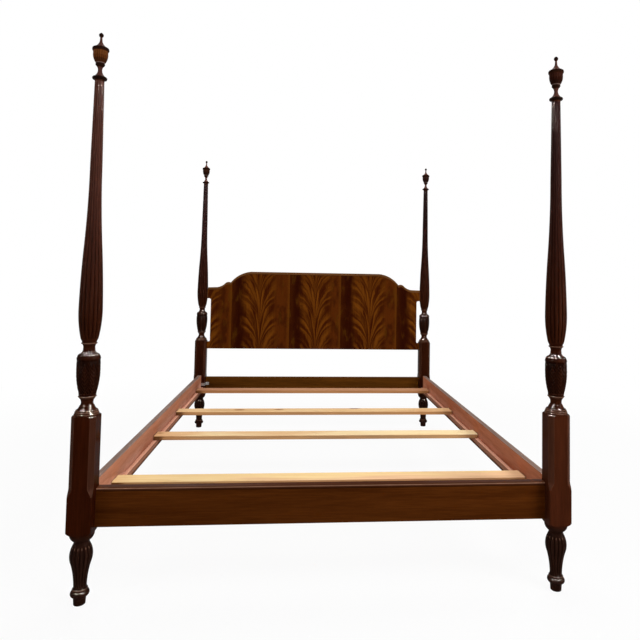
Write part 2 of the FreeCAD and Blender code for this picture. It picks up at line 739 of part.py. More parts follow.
def headboard():
    place = ("0", HALF_LENGTH, "0")
    node(board("headboard_core", "headboard_thick", "0"), "headboard_core", *place)

    # Five leaves of figured veneer, side by side on the front of the core.
    sheet_middle = "(-headboard_thick / 2 - veneer_thick / 2)"
    inner, outer = "(middle_leaf_width / 2)", "(middle_leaf_width / 2 + side_leaf_width)"
    spans = {
        "veneer_middle": (f"-{inner}", inner),
        "veneer_side_left": (f"-{outer}", f"-{inner}"),
        "veneer_side_right": (inner, outer),
        "veneer_end_left": (f"-{POST_FACE}", f"-{outer}"),
        "veneer_end_right": (outer, POST_FACE),
    }
    for name, (low, high) in spans.items():
        leaf = doc.addObject("Part::Common", f"{name}_cut")
        leaf.Base = board(name, "veneer_thick", sheet_middle)
        size = (f"({high}) - ({low})", "headboard_thick + 4 * veneer_thick", "headboard_height")
        leaf.Tool = box(f"{name}_span", size, (f"(({high}) + ({low})) / 2", "0"), "headboard_bottom")
        node(leaf, name, *place)

    # A moulded strip along the shaped top, a little proud of both faces.
    strip = body("crest_mould_body")
    depth = "(headboard_thick + 2 * crest_mould_proud)"
    sketch = blank_sketch(strip, "XZ_Plane", "crest_mould_outline", f"-{depth} / 2")
    upper, lower = crest_run("0"), crest_run("crest_mould_height")
    start, along_top = reversed_run(upper, False)
    left_end, back = reversed_run(lower, True)
    outline(sketch, start, along_top + mirrored_run(upper) + [left_end] + back + lower)
    pad(strip, sketch, depth, "crest_mould_pad")
    node(strip, "crest_mould", *place)


def head_brace():
    """A steel angle between the head rail and the left head post, a small plate, and their screws."""
    side = SIDES["left"]
    place = (f"{side} * {HALF_WIDTH}", HALF_LENGTH)
    to_post, to_rail = brace_screw_starts()
    on_post = box("brace_post_leg", ("brace_thick", "brace_leg", "brace_height"),
                  ("post_block / 2 + brace_thick / 2", "-brace_leg / 2"), "brace_level")
    on_rail = box("brace_rail_leg", ("brace_leg", "brace_thick", "brace_height"),
                  ("post_block / 2 + brace_leg / 2", "-brace_thick / 2"), "brace_level")
    holes = [screw("brace_screw_post", "brace_screw_length", to_post, side * X_AXIS),
             screw("brace_screw_rail", "brace_screw_length", to_rail, Y_AXIS)]
    angle = fuse("head_brace_angle", [on_post, on_rail])
    node(cut("head_brace_cut", angle, holes), "head_brace_left", *place)

    width = "((post_block - side_rail_thick) / 2 - 2 * hook_clear)"
    flat = box("post_plate_flat", (width, "brace_thick", "brace_height"),
               ("post_block / 4 + side_rail_thick / 4", "-post_block / 2 - brace_thick / 2"), "brace_level")
    extra = screw("post_plate_screw", "brace_screw_length", plate_screw_start(), Y_AXIS)
    node(cut("post_plate_cut", flat, [extra]), "post_plate_left", *place)
    node(group("brace_screws_group", holes + [extra]), "brace_screws", *place)


# The whole bed

blank = post_blank()
for end_name in ENDS:
    for side_name in SIDES:
        post(blank, side_name, end_name)
        finial(side_name, end_name)
        hook_pins(side_name, end_name)
foot_rail()
head_rail()
for side_name in SIDES:
    side_rail(side_name)
for number_from_foot, place_share in enumerate(SLAT_PLACE_SHARES, start=1):
    slat(number_from_foot, place_share)
headboard()
head_brace()
doc.recompute()

failed = [obj.Label for obj in doc.Objects if {"Invalid", "Error"} & set(obj.State)]
if failed:
    raise RuntimeError(f"These objects failed: {failed}")
for piece in nodes:
    if piece.Shape.isNull() or not piece.Shape.isValid() or not piece.Shape.Solids:
        raise RuntimeError(f"{piece.Label} has no valid solid")
for piece in nodes:
    piece.Shape.exportStep(f"parts/{piece.Label}.step")
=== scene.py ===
import math

import bmesh
import bpy
import numpy as np
from mathutils import Matrix, Vector


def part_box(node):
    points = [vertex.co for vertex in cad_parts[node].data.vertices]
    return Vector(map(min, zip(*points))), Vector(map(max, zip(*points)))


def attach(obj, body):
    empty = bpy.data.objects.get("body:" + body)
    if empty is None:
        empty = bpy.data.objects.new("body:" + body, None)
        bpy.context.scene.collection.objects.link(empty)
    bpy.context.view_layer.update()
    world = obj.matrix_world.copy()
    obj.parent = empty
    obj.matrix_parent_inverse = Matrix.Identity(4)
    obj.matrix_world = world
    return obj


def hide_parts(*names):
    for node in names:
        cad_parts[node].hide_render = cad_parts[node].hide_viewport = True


# Four-poster bed: the looks of its turned and reeded posts, urn finials, rails, slats and
# flame-veneered headboard. Metres, in the frame of the solids: +Z up, the head at +Y.

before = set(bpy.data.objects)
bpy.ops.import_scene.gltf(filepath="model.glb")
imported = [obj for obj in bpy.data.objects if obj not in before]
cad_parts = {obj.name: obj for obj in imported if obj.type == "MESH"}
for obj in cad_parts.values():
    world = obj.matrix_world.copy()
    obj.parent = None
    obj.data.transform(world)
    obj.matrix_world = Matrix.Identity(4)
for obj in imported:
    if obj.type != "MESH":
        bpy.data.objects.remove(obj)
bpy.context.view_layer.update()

SIDES = ("left", "right")
CORNERS = [f"{end}_{side}" for end in ("foot", "head") for side in SIDES]

# A post, from the floor up. A turned outline is a table of shares: a row of two is a straight
# run to (radius, height), and a row of four an arc through its first pair to its second.
LEG_HEIGHT = 0.224
BLOCK_TOP = 0.593
VASE_TOP = 0.829
POST_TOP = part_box("post_foot_left")[1].z
LEG_DIA = 0.069
VASE_DIA = 0.075
SHAFT_DIA = 0.0722
FINIAL_DIA = 0.053
LEG_SHARES = [
    (0.523, 0.006), (0.566, 0.112), (0.833, 0.156, 0.64, 0.196), (0.69, 0.212, 0.59, 0.228), (0.575, 0.262),
    (0.655, 0.41, 0.862, 0.562), (1.0, 0.708, 0.72, 0.842), (0.69, 0.863, 0.72, 0.884), (0.74, 0.888),
    (0.96, 0.92, 1.1, 1.0),
]
VASE_SHARES = [
    (1.0, 0.0), (1.022, 0.012, 0.97, 0.026), (0.93, 0.028), (0.97, 0.038, 0.92, 0.05), (0.865, 0.052),
    (0.9, 0.061, 0.85, 0.071), (0.79, 0.073), (0.69, 0.094, 0.6, 0.124), (0.51, 0.147, 0.5, 0.167),
    (0.545, 0.203, 0.64, 0.225), (0.66, 0.237), (0.72, 0.241), (0.745, 0.249, 0.72, 0.257), (0.66, 0.261),
    (0.69, 0.27), (0.715, 0.278), (0.905, 0.425, 1.0, 0.648), (0.99, 0.722, 0.955, 0.774),
    (0.925, 0.786), (0.89, 0.808, 0.78, 0.8235), (0.58, 0.847, 0.5, 0.889), (0.475, 0.913, 0.53, 0.946),
    (0.56, 0.957), (0.63, 0.961), (0.655, 0.969, 0.63, 0.977), (0.57, 0.981), (0.62, 1.0),
]
SHAFT_SHARES = [
    (0.63, 0.0), (0.73, 0.007), (0.92, 0.055, 1.0, 0.128), (0.93, 0.23, 0.783, 0.35),
    (0.583, 0.517, 0.52, 0.672), (0.41, 1.0),
]
FINIAL_SHARES = [
    (0.56, 0.0), (0.58, 0.036), (0.82, 0.044), (0.88, 0.066, 0.82, 0.088), (0.44, 0.14, 0.25, 0.228),
    (0.3, 0.277, 0.46, 0.318), (0.56, 0.345, 0.5, 0.372), (0.55, 0.378), (0.8, 0.458, 0.88, 0.568),
    (0.89, 0.614), (0.955, 0.622), (1.0, 0.65, 0.955, 0.678), (0.845, 0.69), (0.42, 0.742, 0.165, 0.815),
    (0.13, 0.9), (0.28, 0.945, 0.06, 0.99),
]
FINIAL_TIP = 0.0004
SPIGOT_RADIUS = 0.006
SPIGOT_LENGTH = 0.028
BORE_RADIUS = 0.00605
BORE_DEPTH = 0.030
EASE = 0.001
TURNING_STEP = 0.0021
CARVING_STEP = 0.0019
FINIAL_STEP = 0.75 * TURNING_STEP
ARC_POINTS = 5
SHAFT_RINGS = 96

# Reeds, leaves and flutes go a whole number of times round the columns of a turning's mesh. The place
# of a reed's tip, which takes a painted highlight, is in half reeds from the reed's end.
COLUMNS = 160
REEDS = 16
REED_DEPTH_SHARE = 0.27
REED_RIDGE_SHARE = 0.4
REED_TIP_SHARE = 1.1
LEG_REED_SHARES = (0.25, 0.832)
SHAFT_REED_SHARES = (0.006, 0.992)
FLUTES = 20
FLUTE_DEPTH = 0.0016
FLUTE_FADE = 0.003
FLUTE_RANGE_SHARES = (0.385, 0.61)

# The vase's leaves: widths in shares of half a leaf's, and cuts in shares of the carving's depth.
LEAVES = 8
LEAF_DEPTH = 0.0034
LEAF_RANGE_SHARES = (0.278, 0.772)
LEAF_FOOT_SHARE = 0.68
LEAF_SWELL_SHARE = 0.3
LEAF_LOBES = 5
LEAF_LOBE_SHARE = 0.09
LEAF_EDGE_SHARE = 0.14
LEAF_RIB_SHARE = 0.08
LEAF_VEINS = 8
VEIN_SLANT = 1.7
CROWN_SHARE = 0.9
CROWN_FALL_SHARE = 0.22
RIB_CUT_SHARE = 0.12
VEIN_CUT_SHARE = 0.5
FRONT_TIP_SHARE = 0.86
BACK_TIP_SHARE = 1.0
BACK_RANK_SHARE = 0.62
LEAF_STOP_SHARE = 0.97
LEAF_FADE_SHARES = (0.03, 0.04)
LEAF_RIDGE_SHARE = 0.7
LEAF_RIDGE_SPAN_SHARE = 0.16
LOBE_DEPTH = 0.003
LOBE_RANGE_SHARES = (0.79, 0.895)
LOBE_FADE_SHARES = (0.12, 0.3)

# The square block: eased corners at the rail, stopped chamfers above, shoulders turned at both ends.
BLOCK_EASE = 0.0026
BLOCK_CHAMFER = 0.014
CHAMFER_STOP = 0.342
TONGUE_LENGTH = 0.026
TONGUE_STEP = 0.0015
TONGUE_STEP_SHARE = 0.1
TONGUE_ROWS = 14
ARRIS_RADIUS = 0.0017
LOW_SHOULDER = 0.012
LOW_SHOULDER_ROWS = 7
TOP_SHOULDER = 0.005
TOP_SHOULDER_ROWS = 6
SHOULDER_EDGE = 0.002
SHOULDER_RIM = 0.0005
FACE_COLUMNS = 13
ARRIS_COLUMNS = 4
CHAMFER_COLUMNS = 3

# The headboard's shaped top, in shares from the end of the flat crest to the post's face and of
# the drop to the ear, as for the turnings, and the moulded strip along it.
CREST_HALF = 0.450
CREST_DROP = 0.113
SHOULDER_SHARES = [
    (0.268, 0.21, 0.48, 0.69), (0.55, 0.655, 0.612, 0.75), (0.7, 0.91, 0.83, 0.985), (1.0, 1.0),
]
CREST_HEIGHT = 0.0165
CREST_ROUND = 0.0024
CREST_ROUND_STEPS = 5
CREST_STEP = 0.004

# Bends per metre at which a turned ring or an arris starts to take a painted highlight, and a groove
# painted shade, and the span to full strength. The shares set how strong each painted highlight is.
RIDGE_BEND = 60.0
RIDGE_SPAN = 260.0
REED_HIGHLIGHT_SHARE = 0.25
TIP_HIGHLIGHT_SHARE = 0.75
LEG_HIGHLIGHT_SHARE = 0.6
RING_HIGHLIGHT_SHARE = 0.7
URN_HIGHLIGHT_SHARE = 0.2
LEAF_HIGHLIGHT_SHARE = 0.45
ARRIS_HIGHLIGHT_SHARE = 0.1
CHAMFER_HIGHLIGHT_SHARE = 0.34

FLAT_ANGLE = math.radians(0.4)
ARRIS_ANGLE = math.radians(30)
SHARP_ANGLE = math.radians(40)
TINY = 1e-6


# Meshes

def smooth(share):
    """An S-shaped ramp from 0 to 1."""
    share = np.clip(share, 0, 1)
    return share * share * (3 - 2 * share)


def within(place, start, end, fade_in, fade_out):
    """1 between a start and an end and 0 outside, with a soft fade inside either end."""
    return smooth((place - start) / fade_in) * smooth((end - place) / fade_out)


def spread(shares, base, height):
    """Heights at shares of a stretch."""
    return [base + share * height for share in shares]


def placed(row, origin, size):
    """The points of a row of a table of shares."""
    return [(origin[0] + x * size[0], origin[1] + y * size[1]) for x, y in zip(row[::2], row[1::2])]


def run(start, end, count):
    """Points of the straight run from start to end, without its start."""
    return [tuple(a + (b - a) * i / count for a, b in zip(start, end)) for i in range(1, count + 1)]


def arc(start, middle, end, step):
    """Points of the arc from start through middle to end, without its start."""
    (ax, ay), (bx, by), (cx, cy) = start, middle, end
    twice_area = 2 * (ax * (by - cy) + bx * (cy - ay) + cx * (ay - by))
    a2, b2, c2 = ax * ax + ay * ay, bx * bx + by * by, cx * cx + cy * cy
    x = (a2 * (by - cy) + b2 * (cy - ay) + c2 * (ay - by)) / twice_area
    y = (a2 * (cx - bx) + b2 * (ax - cx) + c2 * (bx - ax)) / twice_area
    radius = math.hypot(ax - x, ay - y)
    first, mid, last = (math.atan2(py - y, px - x) for px, py in (start, middle, end))
    sweep = (last - first) % math.tau
    if (mid - first) % math.tau > sweep:
        sweep -= math.tau
    count = max(ARC_POINTS, math.ceil(abs(sweep) * radius / step))
    turns = [first + sweep * i / count for i in range(1, count + 1)]
    return [(x + radius * math.cos(turn), y + radius * math.sin(turn)) for turn in turns]


def turned(shares, dia, base, height, step):
    """Radius and height of each ring of a turning, from its table of shares."""
    points = placed(shares[0], (0, base), (dia / 2, height))
    for row in shares[1:]:
        *through, end = placed(row, (0, base), (dia / 2, height))
        if through:
            points += arc(points[-1], *through, end, step)
        else:
            points += run(points[-1], end, max(1, math.ceil(math.dist(points[-1], end) / step)))
    return np.array(points)


def relief(line, closed=False):
    """Painted shade in hollows, 0 to 1, and a painted highlight on ridges, 0 to -1, along a line, from its
    bends.
    """
    ahead = np.roll(line, -1, axis=0) - line
    behind = line - np.roll(line, 1, axis=0)
    across = behind[:, 0] * ahead[:, 1] - behind[:, 1] * ahead[:, 0]
    length = np.hypot(*ahead.T) + np.hypot(*behind.T) + TINY
    bend = np.arctan2(across, (behind * ahead).sum(axis=1)) * 2 / length
    if not closed:
        bend[[0, -1]] = 0
    return -np.sign(bend) * np.clip((np.abs(bend) - RIDGE_BEND) / RIDGE_SPAN, 0, 1)


def off_middle(count):
    """How far each column is from the middle of its reed, leaf or flute, in shares of half a width."""
    return np.abs((np.arange(COLUMNS) * count / COLUMNS + 0.5) % 1 - 0.5) * 2


def scoop(across):
    """How far a half round has fallen from its crest, from 0 in the middle to 1 at its edge."""
    return 1 - np.sqrt(np.clip(1 - across ** 2, 0, 1))


def reeding(rings, start, end):
    """How deep each point lies under the crest of its reed, and its hollow or ridge from 1 to -1."""
    radius, height = rings[:, :1], rings[:, 1:]
    half_reed = math.pi * radius / REEDS
    across = off_middle(REEDS)
    past_end = np.maximum(start + half_reed - height, height - end + half_reed) / half_reed
    inside = within(height, start, end, half_reed, half_reed)
    hollow = scoop(np.hypot(across, np.clip(past_end, 0, 1))) * inside
    # The crests of the reeds, and most of all their top tips, take a painted highlight.
    tip = smooth(1 - np.abs(height - end + REED_TIP_SHARE * half_reed) / half_reed) * TIP_HIGHLIGHT_SHARE
    ridge = np.clip(1 - (across / REED_RIDGE_SHARE) ** 2, 0, 1) * inside * (REED_HIGHLIGHT_SHARE + tip)
    return 2 * half_reed * REED_DEPTH_SHARE * hollow, hollow - ridge


def leaf(rise, across, tip):
    """Height, from 0 to 1, of one carved leaf with a rib, side veins and a lobed edge."""
    up = np.clip(rise / tip, 0, 1)
    lobes = 1 + LEAF_LOBE_SHARE * np.cos(up * LEAF_LOBES * math.tau)
    width = LEAF_FOOT_SHARE + LEAF_SWELL_SHARE * np.sin(math.pi * up)
    edge = width * np.sqrt(1 - up ** 3) * lobes + TINY
    rib = np.exp(-(across / LEAF_RIB_SHARE) ** 2)
    veins = 0.5 + 0.5 * np.cos((up * LEAF_VEINS - across * VEIN_SLANT) * math.tau)
    cuts = RIB_CUT_SHARE * rib + VEIN_CUT_SHARE * veins * (1 - rib)
    crown = CROWN_SHARE - CROWN_FALL_SHARE * (across / edge) ** 2 - cuts
    return np.clip((edge - across) / LEAF_EDGE_SHARE, 0, 1) * np.clip(crown, 0, 1)


def leaf_carving(rings, start, end):
    """Two ranks of upright leaves round the vase: depth under the tallest point, hollow or ridge."""
    rise = (rings[:, 1:] - start) / (end - start)
    across = off_middle(LEAVES)
    front = leaf(rise, across, FRONT_TIP_SHARE)
    back = BACK_RANK_SHARE * leaf(rise, 1 - across, BACK_TIP_SHARE)
    raised = np.maximum(front, back)
    inside = within(rise, 0, LEAF_STOP_SHARE, *LEAF_FADE_SHARES)
    # The hollows between leaves take painted shade, and the leaves' high ridges a painted highlight.
    hollow = (1 - raised) * inside
    ridge = smooth((raised - LEAF_RIDGE_SHARE) / LEAF_RIDGE_SPAN_SHARE) * inside * LEAF_HIGHLIGHT_SHARE
    return LEAF_DEPTH * hollow, hollow - ridge


def curled_tips(rings, start, end):
    """Leaf tips that curl over the vase's shoulder, as rounded lobes with sharp valleys."""
    rise = (rings[:, 1:] - start) / (end - start)
    hollow = scoop(off_middle(LEAVES)) * within(rise, 0, 1, *LOBE_FADE_SHARES)
    return LOBE_DEPTH * hollow, hollow


def fluting(rings, start, end):
    """Upright flutes round a finial's bowl, which are shallower where it is narrow."""
    radius, height = rings[:, :1], rings[:, 1:]
    hollow = scoop(off_middle(FLUTES)) * within(height, start, end, FLUTE_FADE, FLUTE_FADE)
    return FLUTE_DEPTH * hollow * radius / (FINIAL_DIA / 2), hollow


def round_rows(rings, carving=None, highlight_share=1.0):
    """Rows of points round the axis, one per ring, with any carving cut in, and their relief."""
    angle = np.arange(COLUMNS) * math.tau / COLUMNS
    depth, hollow = carving if carving else (0, np.zeros((len(rings), COLUMNS)))
    bends = relief(rings)[:, None]
    # Grooves take painted shade in full, and rings a share of painted highlight.
    hollow = hollow + np.where(bends < 0, bends * highlight_share, bends)
    radius = rings[:, :1] - depth
    height = np.broadcast_to(rings[:, 1:], hollow.shape)
    return np.stack([radius * np.cos(angle), radius * np.sin(angle), height], axis=2), hollow


def block_section(half, chamfer):
    """The block's outline in one row of columns: flat faces, eased arrises and corner chamfers."""
    setback = ARRIS_RADIUS * math.tan(math.pi / 8)
    face_end = half - chamfer - setback
    points = [(half, face_end * i / FACE_COLUMNS) for i in range(FACE_COLUMNS)]
    for i in range(ARRIS_COLUMNS + 1):
        turn = math.pi / 4 * i / ARRIS_COLUMNS
        inset = ARRIS_RADIUS * (1 - math.cos(turn))
        points.append((half - inset, face_end + ARRIS_RADIUS * math.sin(turn)))
    middle = half - chamfer / 2
    points += run(points[-1], (middle, middle), CHAMFER_COLUMNS)
    quarter = points + [(b, a) for a, b in points[-2:0:-1]]
    around = []
    for _ in range(4):
        around += quarter
        quarter = [(-b, a) for a, b in quarter]
    return np.array(around)


def shoulder(section, rim, level, drop, count):
    """Rows from a round rim out to the block's section, which a drop bends like a turned shoulder."""
    reach = np.hypot(*section.T)
    outward = np.clip((reach - rim) / (reach.max() - rim), 0, 1)
    rows = []
    for share in np.linspace(0, 1, count + 1):
        radius = rim + (reach - rim) * share
        height = level + drop * (1 - np.sqrt(1 - (outward * share) ** 2))
        rows.append(np.column_stack([section * (radius / reach)[:, None], height]))
    return rows


def block_rows(half):
    """Rows of the square block, from the turned shoulder at its foot to the one at its top."""
    levels = [(LEG_HEIGHT + LOW_SHOULDER + SHOULDER_EDGE, BLOCK_EASE), (CHAMFER_STOP, BLOCK_EASE)]
    for i in range(TONGUE_ROWS + 1):
        share = TONGUE_STEP_SHARE + (1 - TONGUE_STEP_SHARE) * float(smooth(i / TONGUE_ROWS))
        levels.append((CHAMFER_STOP + TONGUE_STEP + TONGUE_LENGTH * i / TONGUE_ROWS,
                       BLOCK_EASE + (BLOCK_CHAMFER - BLOCK_EASE) * share))
    levels.append((BLOCK_TOP - TOP_SHOULDER - SHOULDER_EDGE, BLOCK_CHAMFER))
    rim = half - SHOULDER_RIM
    low, high = block_section(half, BLOCK_EASE), block_section(half, BLOCK_CHAMFER)
    rows = shoulder(low, rim, LEG_HEIGHT, LOW_SHOULDER, LOW_SHOULDER_ROWS)
    for level, chamfer in levels:
        rows.append(np.column_stack([block_section(half, chamfer), np.full(COLUMNS, level)]))
    return np.array(rows + shoulder(high, rim, BLOCK_TOP, -TOP_SHOULDER, TOP_SHOULDER_ROWS)[::-1])


def loft(name, rows, hollow, place):
    """A closed mesh through rows of points, with a point on the axis at both ends."""
    rows = np.asarray(rows)
    count, columns = rows.shape[:2]
    ends = np.array([rows[0].mean(axis=0), rows[-1].mean(axis=0)])
    points = np.concatenate([rows.reshape(-1, 3), ends]) + np.array(place)
    first, last = count * columns, count * columns + 1
    beside = [(column + 1) % columns for column in range(columns)]
    faces = []
    for base in range(0, first - columns, columns):
        over = base + columns
        for column, after in enumerate(beside):
            faces.append((base + column, base + after, over + after, over + column))
    top = first - columns
    for column, after in enumerate(beside):
        faces.append((first, after, column))
        faces.append((last, top + column, top + after))
    mesh = bpy.data.meshes.new(name)
    mesh.from_pydata(points.tolist(), [], faces)
    values = np.append(np.ravel(hollow), [0, 0]).astype(np.float32)
    mesh.attributes.new("hollow", "FLOAT", "POINT").data.foreach_set("value", values)
    return shown(name, mesh)


def shown(name, mesh):
    """An object for a finished mesh, smooth but for its sharp edges."""
    mesh.validate()
    mesh.shade_smooth()
    mesh.set_sharp_from_angle(angle=SHARP_ANGLE)
    piece = bpy.data.objects.new(name, mesh)
    bpy.context.scene.collection.objects.link(piece)
    return piece


def eased(node, name, radius, shortest, segments=3):
    """A copy of a solid with its arrises rounded, apart from the shortest."""
    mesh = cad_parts[node].data.copy()
    mesh.name = name
    mesh.materials.clear()
    work = bmesh.new()
    work.from_mesh(mesh)
    bmesh.ops.remove_doubles(work, verts=work.verts, dist=TINY)
    bmesh.ops.dissolve_limit(work, angle_limit=FLAT_ANGLE, verts=work.verts, edges=work.edges)
    long = [edge for edge in work.edges if len(edge.link_faces) == 2 and edge.calc_length() > shortest]
    arrises = [edge for edge in long if edge.calc_face_angle() >= ARRIS_ANGLE]
    bmesh.ops.bevel(work, geom=arrises, offset=radius, segments=segments, profile=0.5, affect="EDGES",
                    clamp_overlap=True)
    work.to_mesh(mesh)
    work.free()
    return shown(name, mesh)


# Shader maths

class Value:
    """A socket of a material's nodes, which takes part in sums and products."""

    def __init__(self, tree, socket=None):
        self.tree = tree
        self.socket = socket

    def node(self, kind, settings, inputs, output=0):
        """A new node of a kind: settings first, then the values or links of its sockets."""
        made = self.tree.nodes.new(kind)
        for key, setting in settings.items():
            setattr(made, key, setting)
        for key, value in inputs.items():
            if isinstance(value, Value):
                self.tree.links.new(value.socket, made.inputs[key])
            else:
                made.inputs[key].default_value = value
        return Value(self.tree, made.outputs[output])

    def math(self, operation, first, second=0.0):
        return self.node("ShaderNodeMath", {"operation": operation}, {0: first, 1: second})

    def __add__(self, other):
        return self.math("ADD", self, other)

    def __sub__(self, other):
        return self.math("SUBTRACT", self, other)

    def __rsub__(self, other):
        return self.math("SUBTRACT", other, self)

    def __mul__(self, other):
        return self.math("MULTIPLY", self, other)

    def __truediv__(self, other):
        return self.math("DIVIDE", self, other)

    def __pow__(self, other):
        return self.math("POWER", self, other)

    def __abs__(self):
        return self.math("ABSOLUTE", self)

    __radd__ = __add__
    __rmul__ = __mul__

    def sine(self):
        return self.math("SINE", self)

    def over(self, limit):
        """1 where the value is over the limit, else 0."""
        return self.math("GREATER_THAN", self, limit)

    def least(self, limit):
        """The value, but no less than the limit."""
        return self.math("MAXIMUM", self, limit)

    def most(self, limit):
        """The value, but no more than the limit."""
        return self.math("MINIMUM", self, limit)

    def ramp(self, low, high):
        """A smooth rise from 0 at low to 1 at high."""
        return self.node("ShaderNodeMapRange", {"interpolation_type": "SMOOTHSTEP"},
                         {0: self, 1: low, 2: high})

    def mix(self, first, second):
        """The first colour where this value is 0 and the second where it is 1."""
        colors = [color if isinstance(color, Value) else (*color, 1) for color in (first, second)]
        return self.node("ShaderNodeMix", {"data_type": "RGBA"}, {0: self, 6: colors[0], 7: colors[1]}, 2)

    def stretched(self, x, y, z):
        """A vector scaled by axis."""
        return self.node("ShaderNodeVectorMath", {"operation": "MULTIPLY"}, {0: self, 1: (x, y, z)})

    def joined(self, x, y, z):
        """A vector of three values."""
        return self.node("ShaderNodeCombineXYZ", {}, {0: x, 1: y, 2: z})

    def part(self, axis):
        """One part of a vector: 0 for X, 1 for Y, 2 for Z."""
        return self.node("ShaderNodeSeparateXYZ", {}, {0: self}, axis)

    def noise(self, scale, detail=3.0, roughness=0.55, distortion=0.0):
        return self.node("ShaderNodeTexNoise", {},
                         {"Vector": self, "Scale": scale, "Detail": detail, "Roughness": roughness,
                          "Distortion": distortion})


def surface(name, **constants):
    """A new material: its shader node and the place on the piece, in the piece's own frame."""
    material = bpy.data.materials.new(name)
    material.use_nodes = True
    tree = material.node_tree
    shader = tree.nodes["Principled BSDF"]
    for key, constant in constants.items():
        shader.inputs[key.replace("_", " ")].default_value = constant
    return material, shader, Value(tree).node("ShaderNodeTexCoord", {}, {}, "Object")


def finish(shader, color, roughness, height, depth):
    """Links what varies over a surface to its shader: colour, roughness and a fine relief."""
    bump = color.node("ShaderNodeBump", {}, {"Strength": 1.0, "Distance": depth, "Height": height})
    for key, value in (("Base Color", color), ("Roughness", roughness), ("Normal", bump)):
        color.tree.links.new(value.socket, shader.inputs[key])


# Woods. Their sheen is low, because a higher one mirrors the white studio as a haze over dark polish.
SHEEN = {"Specular_IOR_Level": 0.004, "Specular_Tint": (1.0, 0.85, 0.75, 1)}
ALONG_SHARES = {"x": (0.05, 1.0, 1.0), "y": (1.0, 0.05, 1.0), "z": (1.0, 1.0, 0.05)}
# The colour of the painted highlight on ridges and arrises.
PAINTED_HIGHLIGHT = (0.2, 0.1, 0.064)
ZONE_SHADE_SHARES = (0.7, 1.25)
POLISHED_PORES = (0.6, 0.72)
PLANED_PORES = (0.58, 0.72)
HOLLOW_SHADE_LIMITS = (0.2, 0.95)
HIGHLIGHT_LIMITS = (0.1, 0.95)
POLISH_DEPTH = 0.00004
PLANED_DEPTH = 0.00015


def shaded(color, share):
    """A colour made darker or lighter by a share."""
    return tuple(part * share for part in color)


def grain(place, axis):
    """Long streaks, pores and broad bands of a timber whose grain runs along an axis."""
    fibre = place.stretched(*ALONG_SHARES[axis])
    return fibre.noise(230, 4, 0.6), fibre.noise(900, 2, 0.5), fibre.noise(34, 3, 0.5, 0.4)


def lightness(bands, streaks, band_limits, streak_limits, band_share):
    """How light a wood is, from 0 to 1: a share of its bands and the rest of its streaks."""
    return bands.ramp(*band_limits) * band_share + streaks.ramp(*streak_limits) * (1 - band_share)


def polished_mahogany(name, tones, axis, roughness, zones=()):
    """Dark mahogany under an old shellac polish. Hollows of carving take painted shade, ridges a painted
    highlight, and each zone of heights (low, high, fade, tone, share) takes a share of a tone of its own."""
    dark, light = tones
    material, shader, place = surface(name, **SHEEN)
    streaks, pores, bands = grain(place, axis)
    tone = lightness(bands, streaks, (0.3, 0.72), (0.35, 0.7), 0.55)
    color = tone.mix(dark, light)
    level = place.part(2)
    for low, high, fade, tint, share in zones:
        inside = level.ramp(low - fade, low + fade) - level.ramp(high - fade, high + fade)
        color = (inside * share).mix(color, tone.mix(*(shaded(tint, shade) for shade in ZONE_SHADE_SHARES)))
    pits = pores.ramp(*POLISHED_PORES)
    color = (pits * 0.4).mix(color, shaded(dark, 0.45))
    hollow = place.node("ShaderNodeAttribute", {"attribute_name": "hollow"}, {}, "Fac")
    # Painted shade in hollows of carving and turning, and a painted highlight on ridges and arrises.
    color = (hollow.ramp(*HOLLOW_SHADE_LIMITS) * 0.8).mix(color, shaded(dark, 0.3))
    painted_highlight = (hollow * -1).ramp(*HIGHLIGHT_LIMITS)
    color = (painted_highlight * (streaks * 0.4 + 0.4)).mix(color, PAINTED_HIGHLIGHT)
    varied = streaks * 0.08 + bands * 0.06 + hollow.least(0.0) * 0.15 + (roughness - 0.07)
    finish(shader, color, varied, pits * -1 + streaks * 0.35, POLISH_DEPTH)
    return material


def planed_finish(shader, color, streaks, pores, pore_share, pore_tone):
    """Planed wood without polish: dark pores, a dull surface and the grain in fine relief."""
    pits = pores.ramp(*PLANED_PORES)
    color = (pits * pore_share).mix(color, pore_tone)
    finish(shader, color, 0.6 + streaks * 0.15, pits * -1 + streaks * 0.4, PLANED_DEPTH)


# Tones of the side rails. Depths are under the rail's top or behind its inner face, as (start, end).
BARE_TONES = {"left": ((0.41, 0.16, 0.085), (0.58, 0.25, 0.15)),
              "right": ((0.37, 0.12, 0.057), (0.56, 0.205, 0.107))}
BLUSH_TONES = {"left": ((0.62, 0.33, 0.235), (0.84, 0.49, 0.37)),
               "right": ((0.58, 0.255, 0.165), (0.8, 0.4, 0.275))}
BARE_DARK = (0.22, 0.075, 0.034)
RUBBED_TONES = ((0.15, 0.095, 0.075), (0.3, 0.21, 0.175))
RAIL_PORE = (0.09, 0.03, 0.02)
BLUSH_DEPTHS = (0.085, 0.03)
RUBBED_DEPTHS = (0.0022, 0.0006)
COVERED_DEPTHS = (0.0006, 0.0022)


